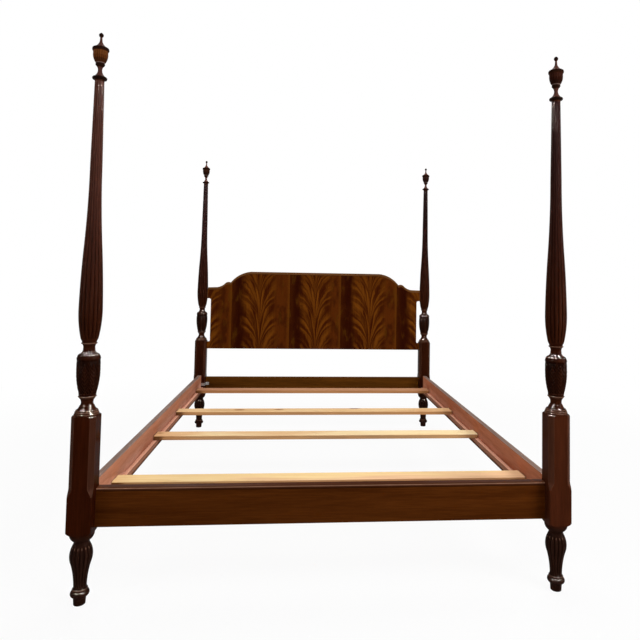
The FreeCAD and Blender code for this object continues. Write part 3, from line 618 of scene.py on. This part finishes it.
def side_rail_wood(name, side, inside_face, top):
    """A side rail: planed bare wood on its inner face, rubbed polish on top, polish outside."""
    material, shader, place = surface(name, **SHEEN)
    streaks, pores, bands = grain(place, "y")
    tone = lightness(bands, streaks, (0.28, 0.74), (0.3, 0.7), 0.55)
    bare, blush = tone.mix(*BARE_TONES[side]), tone.mix(*BLUSH_TONES[side])
    level = place.part(2)
    low = 1 - level.ramp(*(top - depth for depth in BLUSH_DEPTHS))
    patches = place.stretched(1.0, 0.3, 1.0).noise(9, 4, 0.6)
    bare = (low * 0.9 * patches.ramp(0.3, 0.54)).mix(bare, blush)
    bare = (patches.ramp(0.55, 0.8) * 0.4).mix(bare, BARE_DARK)
    covered = abs(place.part(0)).ramp(*(inside_face + depth for depth in COVERED_DEPTHS))
    color = covered.mix(bare, tone.mix(*FOOT_RAIL_TONES))
    rubbed = level.ramp(*(top - depth for depth in RUBBED_DEPTHS))
    color = (rubbed * 0.85).mix(color, tone.mix(*RUBBED_TONES))
    pits = pores.ramp(*PLANED_PORES)
    color = (pits * 0.35).mix(color, RAIL_PORE)
    roughness = 0.62 - covered * 0.25 + streaks * 0.1
    finish(shader, color, roughness, pits * -1 + streaks * 0.5, PLANED_DEPTH)
    return material


# Painted light on the ledger's top and painted shade on its sides.
LEDGER_LIT_TOP_TONES = ((0.54, 0.25, 0.16), (0.74, 0.4, 0.28))
LEDGER_SHADED_SIDE_TONES = ((0.26, 0.105, 0.06), (0.42, 0.19, 0.118))
LEDGER_DARK = (0.05, 0.021, 0.011)
LEDGER_TOP_DEPTHS = (0.0024, 0.0008)
LEDGER_DARK_SHARES = (0.2, 0.5)


def ledger_wood(name, bottom, top):
    """A ledger: a top in painted light, sides in painted shade, and a dark lower edge."""
    material, shader, place = surface(name, **SHEEN)
    streaks, pores, bands = grain(place, "y")
    tone = lightness(bands, streaks, (0.3, 0.7), (0.3, 0.7), 0.5)
    level = place.part(2)
    # The top takes painted light and the sides painted shade.
    planed = level.ramp(*(top - depth for depth in LEDGER_TOP_DEPTHS))
    color = planed.mix(tone.mix(*LEDGER_SHADED_SIDE_TONES), tone.mix(*LEDGER_LIT_TOP_TONES))
    low = 1 - level.ramp(*spread(LEDGER_DARK_SHARES, bottom, top - bottom))
    color = (low * 0.85).mix(color, LEDGER_DARK)
    planed_finish(shader, color, streaks, pores, 0.3, LEDGER_DARK)
    return material


# Each slat's pale and warm wood and its blush, and how far the blush leans to the right end. Slat 4's
# tones are darker, as painted shade.
SLAT_TONES = {1: ((0.88, 0.65, 0.33), (0.78, 0.51, 0.23), (0.84, 0.5, 0.3), 0.18),
              2: ((0.93, 0.75, 0.45), (0.84, 0.6, 0.31), (0.76, 0.42, 0.2), -0.26),
              3: ((0.84, 0.59, 0.32), (0.72, 0.45, 0.21), (0.68, 0.35, 0.16), 0.0),
              4: ((0.5, 0.26, 0.14), (0.38, 0.175, 0.09), (0.42, 0.185, 0.1), 0.0)}
EDGE_SHADE_TONES = ((0.36, 0.15, 0.05), (0.56, 0.27, 0.105))
EDGE_SHADE_DEPTHS = (0.0034, 0.001)
LEFT_END_DARK = (0.13, 0.052, 0.018)
LEFT_END_REACHES = (0.055, 0.02)
KNOT_TONE = (0.3, 0.12, 0.04)
KNOT_LIMITS = (0.06, 0.13)
RINGS_ACROSS, RINGS_UP, RING_WANDER = 330, 240, 34


def pine(name, pale, warm, blush, lean, half, top):
    """Planed pine with early and late wood lines, warm stretches towards one end, a few knots,
    and painted shade below its top face, darker still towards the left end."""
    material, shader, place = surface(name, **SHEEN)
    fibre = place.stretched(*ALONG_SHARES["x"])
    wander = fibre.noise(22, 2, 0.5)
    rings = (place.part(1) * RINGS_ACROSS + wander * RING_WANDER + place.part(2) * RINGS_UP).sine()
    tone = rings.ramp(-0.1, 1.0) * 0.55 + fibre.noise(60, 4, 0.6).ramp(0.3, 0.75) * 0.45
    color = tone.mix(pale, warm)
    stretch = place.stretched(0.22, 1.6, 1.6).noise(7, 3, 0.55) + place.part(0) * (lean / half)
    color = (stretch.ramp(0.46, 0.7) * 0.8).mix(color, tone.mix(blush, shaded(blush, 0.78)))
    knots = place.node("ShaderNodeTexVoronoi", {"feature": "F1"},
                       {"Vector": place.stretched(3.2, 9.0, 9.0), "Scale": 1.0, "Randomness": 1.0})
    color = (1 - knots.ramp(*KNOT_LIMITS)).mix(color, KNOT_TONE)
    marks = place.noise(9, 4, 0.65).ramp(0.55, 0.85)
    color = (marks * 0.3).mix(color, shaded(warm, 0.55))
    # Painted shade on the faces below the top.
    side = 1 - place.part(2).ramp(*(top - depth for depth in EDGE_SHADE_DEPTHS))
    color = (side * 0.8).mix(color, tone.mix(*EDGE_SHADE_TONES))
    # Those faces are darker still towards the left end.
    left_end = (place.part(0) * -1).ramp(*(half - reach for reach in LEFT_END_REACHES))
    color = (left_end * side * 0.9).mix(color, LEFT_END_DARK)
    finish(shader, color, 0.58 + tone * 0.14, tone, 0.0002)
    return material


BACK_TONES = ((0.05, 0.02, 0.009), (0.12, 0.052, 0.022))


def board_back(name):
    """The plain planed back of the headboard."""
    material, shader, place = surface(name, **SHEEN)
    streaks, pores, bands = grain(place, "x")
    color = lightness(bands, streaks, (0.3, 0.7), (0.3, 0.7), 0.5).mix(*BACK_TONES)
    planed_finish(shader, color, streaks, pores, 0.4, shaded(BACK_TONES[0], 0.4))
    return material


# Flame veneer. Its plumes, from the lowest, leave the stem at shares of the board's height. Their rays
# start upright and arch over as quarters of an ellipse, whose half width is the arch. They end at the
# reach of their side of the stem.
VENEERS = ("veneer_end_left", "veneer_side_left", "veneer_middle", "veneer_side_right", "veneer_end_right")
STEM_PITCH = 0.386
STEM_SWAY = 0.02
PLUME_SHARES = (-0.48, -0.12, 0.24, 0.58)
ARCH = 0.152
ARCH_RISE_SHARE = 0.4
RIPPLE_SHARE = 0.09
RAYS, HAIRS = 10, 40
LEFT_REACH, RIGHT_REACH = 0.138, 0.124
REACH_PLAY = 0.06
BAND_PLACE = 0.056
BAND_WIDTHS = (0.008, 0.055)
SEAM_STRIP = (-0.024, -0.004)
SEAM_LINE = (0.0006, 0.002)
GROUND_TONES = ((0.039, 0.0074, 0.0011), (0.09, 0.0198, 0.0023))
PLUME_TONES = ((0.036, 0.0046, 0.0008), (0.168, 0.0485, 0.0042))
BAND_TONE = (0.023, 0.003, 0.0009)
SEAM_TONE = (0.125, 0.037, 0.004)
OLIVE_TONE = (0.092, 0.033, 0.0022)


def flame_veneer(name, centre, left_seam, right_seam, bottom, height):
    """One leaf of crotch mahogany: plumes of fine rays that leave a stem and arch outward, a dark
    band on its left quarter, plain golden wood on its right and a pale strip at its right seam."""
    material, shader, place = surface(name, **SHEEN)
    x, z = place.part(0), place.part(2)
    sway = (place.stretched(1.0, 1.0, 0.6).noise(6, 2, 0.5) - 0.5) * STEM_SWAY
    across = x - centre + sway
    right = across.over(0.0)
    rise = (z - bottom) / height
    fibre = place.stretched(1.0, 1.0, 0.07).noise(90, 4, 0.6)
    cloud = place.stretched(1.0, 1.0, 0.5).noise(13, 3, 0.55)
    warmth = across.ramp(-0.12, 0.14) * 0.3
    color = (fibre * 0.5 + cloud * 0.45 + warmth).ramp(0.36, 0.84).mix(*GROUND_TONES)
    color = (cloud.ramp(0.48, 0.64) * 0.6).mix(color, BAND_TONE)
    patches = place.stretched(1.0, 1.0, 0.35).noise(24, 3, 0.6)
    color = (patches.ramp(0.54, 0.7) * 0.6).mix(color, OLIVE_TONE)
    out = abs(across)
    reach = out / ((cloud - 0.5) * REACH_PLAY + right * (RIGHT_REACH - LEFT_REACH) + LEFT_REACH)
    along = out / ARCH
    bent = (along * (2 - along)).least(0.0) ** 0.5 * ARCH_RISE_SHARE
    ripple = (place.noise(26, 2, 0.5) - 0.5) * RIPPLE_SHARE
    ends = 1 - reach.ramp(0.68, 1.02)
    for number, origin in enumerate(PLUME_SHARES):
        above = rise - origin
        fan = bent / above.least(0.01) + ripple
        side = right * 3.0 + number * 9.0
        rays = place.joined(fan * RAYS, side, z * 4).noise(1.0, 1, 0.5)
        hairs = place.joined(fan * HAIRS, side, z * 10).noise(1.0, 2, 0.6)
        light = (rays * 0.75 + hairs * 0.25 + (fibre - 0.5) * 0.15).ramp(0.38, 0.68)
        inside = ends * (1 - fan.ramp(0.92, 1.06)) * above.ramp(0.0, 0.05)
        color = (inside * 0.85).mix(color, light.mix(*PLUME_TONES))
    broken = patches.ramp(0.7, 0.42) * 0.6 + 0.35
    band = (1 - abs(x - left_seam - BAND_PLACE + sway * 1.5).ramp(*BAND_WIDTHS)) * broken
    color = (band * 0.95).mix(color, BAND_TONE)
    color = ((x - right_seam).ramp(*SEAM_STRIP) * 0.55).mix(color, SEAM_TONE)
    line = 1 - abs(x - left_seam).ramp(*SEAM_LINE)
    color = (line * 0.5).mix(color, BAND_TONE)
    finish(shader, color, 0.2 + fibre * 0.1, fibre, 0.00008)
    return material


# Each steel's colour and stain, and the roughness of its smoothest places.
STEELS = {"bright_steel": ((0.34, 0.325, 0.315), (0.2, 0.17, 0.15), 0.32),
          "forged_steel": ((0.2, 0.19, 0.18), (0.1, 0.07, 0.05), 0.4),
          "screw_steel": ((0.13, 0.11, 0.095), (0.07, 0.05, 0.035), 0.36)}


def steel(name):
    """Steel with fine scratches and a little tarnish."""
    color, stain, roughness = STEELS[name]
    material, shader, place = surface(name, Metallic=1.0)
    scratches = place.stretched(1.0, 0.08, 1.0).noise(1400, 2, 0.5)
    tarnish = place.noise(160, 4, 0.6).ramp(0.45, 0.75)
    tint = (tarnish * 0.6).mix(color, stain)
    finish(shader, tint, scratches * 0.2 + tarnish * 0.2 + roughness, scratches, 0.00004)
    return material


# Pieces

def dress(piece, material, body, slot, *nodes):
    """Gives a new piece its finish, the body that it moves with and the solids that it stands for."""
    piece.data.materials.clear()
    piece.data.materials.append(material)
    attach(piece, body)
    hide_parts(*nodes)
    return piece


def paint(node, material):
    """Gives a solid that is shown as it is a finer material."""
    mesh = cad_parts[node].data
    mesh.materials.clear()
    mesh.materials.append(material)


def stacked(name, parts, node, material, body, slot):
    """One piece through the rows of its parts, from the lowest, on the axis of the solid it stands for."""
    rows, hollow = (np.concatenate(group) for group in zip(*parts))
    low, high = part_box(node)
    middle = (low + high) / 2
    piece = loft(name, rows, hollow, (middle.x, middle.y, 0))
    return dress(piece, material, body, slot, node)


def leg_parts():
    """A turned leg with an eased foot and reeds round its bulb."""
    leg = turned(LEG_SHARES, LEG_DIA, 0, LEG_HEIGHT, TURNING_STEP)
    foot = np.array([[leg[0, 0] - leg[0, 1], 0.0]])
    reeds = reeding(leg, *spread(LEG_REED_SHARES, 0, LEG_HEIGHT))
    return [round_rows(foot), round_rows(leg, reeds, LEG_HIGHLIGHT_SHARE)]


def block_part(half):
    """The square block, with a painted highlight on its arrises and a stronger one on its chamfers."""
    block = block_rows(half)
    arrises = np.array([relief(row[:, :2], True) for row in block]) * ARRIS_HIGHLIGHT_SHARE
    outward = np.abs(block[:, :, :2]).sum(axis=2)
    on_chamfer = (outward > outward.max(axis=1, keepdims=True) - EASE) & (block[:, :, 2] > CHAMFER_STOP)
    arrises[on_chamfer] -= CHAMFER_HIGHLIGHT_SHARE
    return block, arrises


def vase_part():
    """The turned vase, carved with leaves up to its shoulder and their tips over it."""
    height = VASE_TOP - BLOCK_TOP
    vase = turned(VASE_SHARES, VASE_DIA, BLOCK_TOP, height, CARVING_STEP)
    leaves = leaf_carving(vase, *spread(LEAF_RANGE_SHARES, BLOCK_TOP, height))
    tips = curled_tips(vase, *spread(LOBE_RANGE_SHARES, BLOCK_TOP, height))
    carving = [leaf_part + tip_part for leaf_part, tip_part in zip(leaves, tips)]
    return round_rows(vase, carving, RING_HIGHLIGHT_SHARE)


def shaft_parts():
    """The reeded shaft, with more rings towards its ends, and the bore for the finial's spigot."""
    height = POST_TOP - VASE_TOP
    drawn = turned(SHAFT_SHARES, SHAFT_DIA, VASE_TOP, height, TURNING_STEP)
    level = VASE_TOP + height * (1 - np.cos(np.linspace(0, math.pi, SHAFT_RINGS))) / 2
    shaft = np.column_stack([np.interp(level, drawn[:, 1], drawn[:, 0]), level])
    rim = shaft[-1, 0]
    shaft[-1, 1] -= EASE
    bore = np.array([[rim - EASE, POST_TOP], [BORE_RADIUS + EASE, POST_TOP], [BORE_RADIUS, POST_TOP - EASE],
                     [BORE_RADIUS, POST_TOP - BORE_DEPTH]])
    reeds = reeding(shaft, *spread(SHAFT_REED_SHARES, VASE_TOP, height))
    return [round_rows(shaft, reeds), round_rows(bore)]


def post(corner):
    """A post in one piece: reeded leg, square block, carved vase, reeded shaft and its bore."""
    node = f"post_{corner}"
    low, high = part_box(node)
    parts = [*leg_parts(), block_part((high.x - low.x) / 2), vase_part(), *shaft_parts()]
    return stacked(f"carved_post_{corner}", parts, node, post_wood(corner), "bedstead", "mahogany_posts")


def finial(corner):
    """An urn finial with a fluted bowl, and the spigot under it."""
    node = f"finial_{corner}"
    low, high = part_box(node)
    base, height = low.z + SPIGOT_LENGTH, high.z - low.z - SPIGOT_LENGTH
    urn = turned(FINIAL_SHARES, FINIAL_DIA, base, height, FINIAL_STEP)
    spigot = np.array([[SPIGOT_RADIUS - EASE, low.z], [SPIGOT_RADIUS, low.z + EASE], [SPIGOT_RADIUS, base]])
    flutes = fluting(urn, *spread(FLUTE_RANGE_SHARES, base, height))
    tip = np.array([[urn[-1, 0] / 2, high.z - FINIAL_TIP]])
    parts = [round_rows(spigot), round_rows(urn, flutes, URN_HIGHLIGHT_SHARE), round_rows(tip)]
    return stacked(f"urn_finial_{corner}", parts, node, urn_wood(corner), node, "mahogany_finials")


# Tones of the polished pieces. A tint is its fade in height, its tone, and the share of it that covers
# the wood's own tones.
POST_TONES = ((0.022, 0.0048, 0.0016), (0.043, 0.0096, 0.0029))
POST_ROUGHNESS = 0.1
LEG_TINT = (0.02, (0.0155, 0.0072, 0.005), 0.75)
VASE_TINT = (0.02, (0.0125, 0.0038, 0.0022), 0.65)
# Painted light on each post's block: lighter at the foot right, darker at the foot left.
BLOCK_LIGHTING_TONES = {"foot_left": (0.031, 0.005, 0.001), "foot_right": (0.056, 0.0135, 0.0052),
               "head_left": (0.034, 0.0072, 0.0022), "head_right": (0.034, 0.0072, 0.0022)}
BLOCK_TINT_SHARE = 0.7
BLOCK_FADE = 0.01
VASE_DARK_FROM, VASE_DARK_TO = BLOCK_TOP + 0.06, VASE_TOP - 0.05
# Painted sheen on each post's upper shaft, lighter and pinker at the foot left, where more light falls.
SHAFT_SHEEN_TONES = {"foot_left": (0.108, 0.038, 0.027), "foot_right": (0.027, 0.0095, 0.0092),
               "head_left": (0.034, 0.0155, 0.0165), "head_right": (0.0175, 0.0078, 0.0092)}
SHAFT_TINT_SHARE = 0.9
SHEEN_FROM, SHEEN_TO = 0.8, 1.7
URN_TONES = ((0.026, 0.0068, 0.0026), (0.075, 0.0225, 0.0085))
URN_TINTS = {"dark": (0.014, 0.0055, 0.0034), "pink_sheen": (0.125, 0.05, 0.04), "line": (0.3, 0.2, 0.17)}
# Each finial's bowl and the top of it in painted light: golden at the foot left, where the light falls.
BOWL_LIGHTING_TONES = {"foot_left": ((0.125, 0.034, 0.0075), (0.185, 0.06, 0.015)),
              "foot_right": ((0.03, 0.008, 0.0046), (0.05, 0.0145, 0.0085)),
              "head_left": ((0.032, 0.0105, 0.006), (0.06, 0.021, 0.011)),
              "head_right": ((0.026, 0.0098, 0.0075), (0.04, 0.0155, 0.0115))}
# Zones of a finial: from and to in shares of its height, the tint, and the tint's share. Its sloping
# foot, lid and neck take a painted sheen, the line over the collar a painted highlight, the bowl's
# top painted light, and the dark zone over the lower bowl painted shade.
URN_ZONE_SHARES = [
    (0.03, 0.09, "dark", 0.95), (0.095, 0.29, "pink_sheen", 0.7), (0.3, 0.365, "dark", 0.8),
    (0.38, 0.612, "bowl", 0.95), (0.52, 0.612, "bowl_lit_top", 0.6), (0.38, 0.46, "dark", 0.5),
    (0.367, 0.383, "line", 0.7), (0.622, 0.68, "dark", 0.85), (0.69, 0.9, "pink_sheen", 0.65),
    (0.91, 1.05, "dark", 0.9),
]
URN_FADE = 0.0012
FOOT_RAIL_TONES = ((0.042, 0.0094, 0.0012), (0.086, 0.0225, 0.0034))
BEAD_HEIGHT = 0.009
BEAD_TINT = (0.0004, (0.054, 0.017, 0.0076), 0.7)
# A painted highlight along the bead, and painted shade in the quirk under it.
BEAD_HIGHLIGHT_SHARES = (0.45, 0.15)
BEAD_HIGHLIGHT_TINT = (0.0006, (0.29, 0.15, 0.095), 0.75)
QUIRK_HEIGHT = 0.002
QUIRK_SHADE_TINT = (0.0004, (0.016, 0.005, 0.002), 0.8)
HEAD_RAIL_TONES = ((0.059, 0.0188, 0.0024), (0.118, 0.0395, 0.0048))
CREST_TONES = ((0.106, 0.0425, 0.0128), (0.178, 0.0715, 0.0232))


def post_wood(corner):
    """One post's mahogany: a nearly black leg, a dark vase, painted light on the block and painted sheen up
    the shaft.
    """
    sheen_middle, fade = (SHEEN_FROM + SHEEN_TO) / 2, (SHEEN_TO - SHEEN_FROM) / 2
    zones = [(-LEG_HEIGHT, LEG_HEIGHT, *LEG_TINT),
             (LEG_HEIGHT, BLOCK_TOP, BLOCK_FADE, BLOCK_LIGHTING_TONES[corner], BLOCK_TINT_SHARE),
             (VASE_DARK_FROM, VASE_DARK_TO, *VASE_TINT),
             (sheen_middle, 2 * POST_TOP, fade, SHAFT_SHEEN_TONES[corner], SHAFT_TINT_SHARE)]
    return polished_mahogany(f"post_mahogany_{corner}", POST_TONES, "z", POST_ROUGHNESS, zones)


def urn_wood(corner):
    """One finial's mahogany: dark rings, painted sheen on the necks, and painted light and shade on the
    bowl.
    """
    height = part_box(f"finial_{corner}")[1].z - POST_TOP
    bowl, bowl_lit_top = BOWL_LIGHTING_TONES[corner]
    tints = {**URN_TINTS, "bowl": bowl, "bowl_lit_top": bowl_lit_top}
    zones = [(*spread((low, high), POST_TOP, height), URN_FADE, tints[tint], share)
             for low, high, tint, share in URN_ZONE_SHARES]
    return polished_mahogany(f"finial_mahogany_{corner}", URN_TONES, "z", POST_ROUGHNESS, zones)


def foot_rail_wood(top):
    """The foot rail's mahogany, with a painted highlight along the bead and painted shade in the quirk
    under it.
    """
    under = top - BEAD_HEIGHT
    line = [top - share * BEAD_HEIGHT for share in BEAD_HIGHLIGHT_SHARES]
    zones = [(under, top + BEAD_HEIGHT, *BEAD_TINT),
             (*line, *BEAD_HIGHLIGHT_TINT),
             (under - QUIRK_HEIGHT, under, *QUIRK_SHADE_TINT)]
    return polished_mahogany("foot_rail_mahogany", FOOT_RAIL_TONES, "x", 0.34, zones)


def bedstead():
    """Posts, finials and the two end rails. Gives back the posts."""
    posts = [post(corner) for corner in CORNERS]
    for corner in CORNERS:
        finial(corner)
    front = eased("foot_rail", "beaded_foot_rail", radius=0.0012, shortest=0.02)
    dress(front, foot_rail_wood(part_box("foot_rail")[1].z), "bedstead", "mahogany_foot_rail", "foot_rail")
    back = eased("head_rail", "planed_head_rail", radius=0.0016, shortest=0.02)
    back_wood = polished_mahogany("head_rail_mahogany", HEAD_RAIL_TONES, "x", 0.42)
    dress(back, back_wood, "bedstead", "mahogany_rails", "head_rail")
    return posts


def side_rails():
    """The two side rails, each with its ledger."""
    ledger = ledger_wood("ledger_board", *(corner.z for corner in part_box("ledger_left")))
    for side in SIDES:
        body = f"side_rail_{side}"
        low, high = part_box(body)
        inside_face = min(abs(low.x), abs(high.x))
        wood = side_rail_wood(f"side_rail_{side}_wood", side, inside_face, high.z)
        rail = eased(body, f"hooked_side_rail_{side}", radius=0.0016, shortest=0.05)
        dress(rail, wood, body, "mahogany_rails", body)
        strip = eased(f"ledger_{side}", f"screwed_ledger_{side}", radius=0.0012, shortest=0.02)
        dress(strip, ledger, body, "secondary_wood", f"ledger_{side}")


def slats():
    """The four loose slats."""
    for number, tones in SLAT_TONES.items():
        name = f"slat_{number}"
        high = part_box(name)[1]
        piece = eased(name, f"pine_{name}", radius=0.0008, shortest=0.05, segments=2)
        dress(piece, pine(f"pine_{number}", *tones, high.x, high.z), name, "pine_slats", name)


def crest_line(half_width):
    """The shaped top from left to right: places across and heights under the crest."""
    points = [(0.0, 0.0), (CREST_HALF, 0.0)]
    for row in SHOULDER_SHARES:
        *through, end = placed(row, points[1], (half_width - CREST_HALF, -CREST_DROP))
        points += arc(points[-1], *through, end, CREST_STEP) if through else [end]
    return [(-x, drop) for x, drop in points[:0:-1]] + points


def crest_mould(material):
    """The rounded strip along the shaped top, a little proud of both faces of the board."""
    low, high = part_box("crest_mould")
    middle, half_depth = (low.y + high.y) / 2, (high.y - low.y) / 2
    section = []
    for turn, (y_sign, z_sign) in enumerate(((1, 1), (-1, 1), (-1, -1), (1, -1))):
        y, z = y_sign * (half_depth - CREST_ROUND), z_sign * (CREST_HEIGHT / 2 - CREST_ROUND)
        for i in range(CREST_ROUND_STEPS + 1):
            angle = math.pi / 2 * (turn + i / CREST_ROUND_STEPS)
            section.append((y + CREST_ROUND * math.cos(angle), z + CREST_ROUND * math.sin(angle)))
    rows = []
    for x, drop in crest_line(high.x):
        level = high.z + drop - CREST_HEIGHT / 2
        rows.append([(x, middle + y, level + z) for y, z in section])
    piece = loft("rounded_crest_mould", rows, np.zeros((len(rows), len(section))), (0, 0, 0))
    return dress(piece, material, "bedstead", "mahogany_crest", "crest_mould")


def headboard():
    """The crest mould, the board's back and its five leaves of veneer."""
    crest_mould(polished_mahogany("crest_mahogany", CREST_TONES, "x", 0.3))
    paint("headboard_core", board_back("headboard_back"))
    low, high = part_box("headboard_core")
    for number, node in enumerate(VENEERS):
        centre = (number - len(VENEERS) // 2) * STEM_PITCH
        left_seam, right_seam = (corner.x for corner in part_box(node))
        # The posts cut the two end leaves short, so their outer seams would lie further out.
        if node == VENEERS[0]:
            left_seam = centre - STEM_PITCH / 2
        if node == VENEERS[-1]:
            right_seam = centre + STEM_PITCH / 2
        paint(node, flame_veneer(f"flame_{node}", centre, left_seam, right_seam, low.z, high.z - low.z))


def ironwork():
    """The brace and plate at the left head post, the hooks and pins of the side rails, and all screws."""
    bright, forged, screw = (steel(name) for name in STEELS)
    for node in ("head_brace_left", "post_plate_left"):
        piece = eased(node, f"bent_{node}", radius=0.0006, shortest=0.002, segments=2)
        dress(piece, bright, "bedstead", "bright_steel", node)
    paint("brace_screws", bright)
    for corner in CORNERS:
        paint(f"hook_plate_{corner}", forged)
        paint(f"hook_pins_{corner}", forged)
    for side in SIDES:
        paint(f"ledger_screws_{side}", screw)
        paint(f"hook_plate_screws_{side}", screw)


# Floor, light and camera

FLOOR_REACH = 30.0
FLOOR_LEVEL = -0.0002
FLOOR_GREY = (0.7, 0.7, 0.7, 1)
FLOOR_WHITE_SHARES = (0.92, 1.0)
FLOOR_FADE = (1.2, 3.6)
WHITE = (1, 1, 1, 1)
WORLD_LIGHT = 0.3
# Lamps: name, place, aim, width and height, and power in watts.
LAMPS = [
    ("key_light", (2.7, -3.0, 2.3), (0.0, -0.4, 0.6), (1.5, 1.5), 95),
    ("fill_light", (-3.0, -3.0, 2.6), (0.0, -0.4, 0.6), (1.2, 1.2), 26),
    ("top_light", (0.2, 0.4, 4.4), (0.0, 0.1, 0.3), (2.6, 2.6), 100),
    ("back_light", (-1.2, 4.0, 2.4), (0.0, 1.0, 0.7), (1.4, 1.4), 40),
]
# Windows and ceiling lamps that only glint in the posts' polish and light nothing else.
GLINT_LAMPS = [
    ("right_window", (3.6, -2.2, 1.6), (0.0, -0.6, 1.0), (0.7, 2.6), 350),
    ("left_window", (-3.6, -2.6, 1.6), (0.0, -0.6, 1.0), (0.5, 2.6), 200),
    ("left_ceiling_lamp", (-1.75, -1.45, 2.75), (-0.6, -1.0, 0.6), (0.8, 0.8), 9000),
    ("middle_ceiling_lamp", (0.0, -0.85, 2.75), (0.0, -1.0, 0.6), (1.4, 0.8), 15700),
    ("right_ceiling_lamp", (1.75, -1.45, 2.75), (0.6, -1.0, 0.6), (0.8, 0.8), 9000),
    ("left_front_lamp", (-1.9, -2.4, 3.1), (0.0, -1.0, 0.6), (1.1, 1.1), 4200),
    ("right_front_lamp", (1.8, -2.1, 3.1), (0.0, -1.0, 0.6), (1.1, 1.1), 4200),
]
# The camera: its place, its yaw, pitch and roll in degrees, and its lens in pixels of the frame.
CAMERA_PLACE = (-0.10471, -2.93778, 1.05104)
CAMERA_TURNS = (4.7976, 2.6712, 1.0155)
FRAME_PIXELS = 640
FOCAL_PIXELS = 560.71
LENS_PIXEL = (348.54, 250.45)
SENSOR_WIDTH = 36


def seen(tree):
    """1 for the rays that see a white background, from the camera or by way of gloss or glass."""
    camera_ray, glossy_ray, clear_ray = (
        Value(tree).node("ShaderNodeLightPath", {}, {}, f"Is {kind} Ray")
        for kind in ("Camera", "Glossy", "Transmission"))
    return (camera_ray + glossy_ray + clear_ray).most(1.0)


def stage():
    """A white floor that fades into the white background and keeps the bed's soft shadow."""
    mesh = bpy.data.meshes.new("studio_floor")
    square = ((-1, -1), (1, -1), (1, 1), (-1, 1))
    corners = [(x * FLOOR_REACH, y * FLOOR_REACH, FLOOR_LEVEL) for x, y in square]
    mesh.from_pydata(corners, [], [(0, 1, 2, 3)])
    floor = bpy.data.objects.new("studio_floor", mesh)
    bpy.context.scene.collection.objects.link(floor)
    material, shader, place = surface("floor_paper", Base_Color=FLOOR_GREY, Roughness=0.9,
                                      Specular_IOR_Level=0.0)
    tree = place.tree
    near, far = FLOOR_WHITE_SHARES
    apart = place.node("ShaderNodeVectorMath", {"operation": "LENGTH"}, {0: place}, 1)
    share = seen(tree) * (apart.ramp(*FLOOR_FADE) * (far - near) + near)
    white = place.node("ShaderNodeEmission", {}, {"Color": WHITE, "Strength": 1.0})
    blend = place.node("ShaderNodeMixShader", {}, {0: share, 1: Value(tree, shader.outputs[0]), 2: white})
    tree.links.new(blend.socket, tree.nodes["Material Output"].inputs["Surface"])
    mesh.materials.append(material)


def area_light(name, place, aim, size, power):
    """A rectangular lamp of a width and a height, turned towards a point."""
    lamp = bpy.data.lights.new(name, "AREA")
    lamp.shape = "RECTANGLE"
    lamp.size, lamp.size_y = size
    lamp.energy = power
    light = bpy.data.objects.new(name, lamp)
    light.location = place
    light.rotation_euler = (Vector(aim) - Vector(place)).to_track_quat("-Z", "Y").to_euler()
    light.visible_camera = False
    bpy.context.scene.collection.objects.link(light)
    return light


def studio_light(posts):
    """A white studio with soft lamps, and the lamps that glint in the posts."""
    world = bpy.data.worlds.new("white_studio")
    bpy.context.scene.world = world
    world.use_nodes = True
    tree = world.node_tree
    background = tree.nodes["Background"]
    strength = seen(tree) * (1 - WORLD_LIGHT) + WORLD_LIGHT
    tree.links.new(strength.socket, background.inputs["Strength"])
    background.inputs["Color"].default_value = WHITE
    for lamp in LAMPS:
        area_light(*lamp)
    polished_posts = bpy.data.collections.new("polished_posts")
    for piece in posts:
        polished_posts.objects.link(piece)
    for lamp in GLINT_LAMPS:
        light = area_light(*lamp)
        light.visible_diffuse = False
        light.light_linking.receiver_collection = polished_posts


def camera():
    """The photographer's camera: in front of the foot, a little left, at chest height."""
    yaw, pitch, roll = (math.radians(turn) for turn in CAMERA_TURNS)
    ahead = Vector((math.sin(yaw) * math.cos(pitch), math.cos(yaw) * math.cos(pitch), math.sin(pitch)))
    level = Vector((math.cos(yaw), -math.sin(yaw), 0))
    upright = level.cross(ahead)
    right = math.cos(roll) * level + math.sin(roll) * upright
    up = math.cos(roll) * upright - math.sin(roll) * level
    lens = bpy.data.cameras.new("foot_view")
    lens.sensor_width = SENSOR_WIDTH
    lens.lens = FOCAL_PIXELS / FRAME_PIXELS * SENSOR_WIDTH
    lens.shift_x = 0.5 - LENS_PIXEL[0] / FRAME_PIXELS
    lens.shift_y = LENS_PIXEL[1] / FRAME_PIXELS - 0.5
    view = bpy.data.objects.new("foot_view", lens)
    turn = Matrix((right, up, -ahead)).transposed()
    view.matrix_world = Matrix.Translation(CAMERA_PLACE) @ turn.to_4x4()
    bpy.context.scene.collection.objects.link(view)
    bpy.context.scene.camera = view


posts = bedstead()
side_rails()
slats()
headboard()
ironwork()
stage()
studio_light(posts)
camera()
bpy.context.scene.view_settings.view_transform = "Standard"
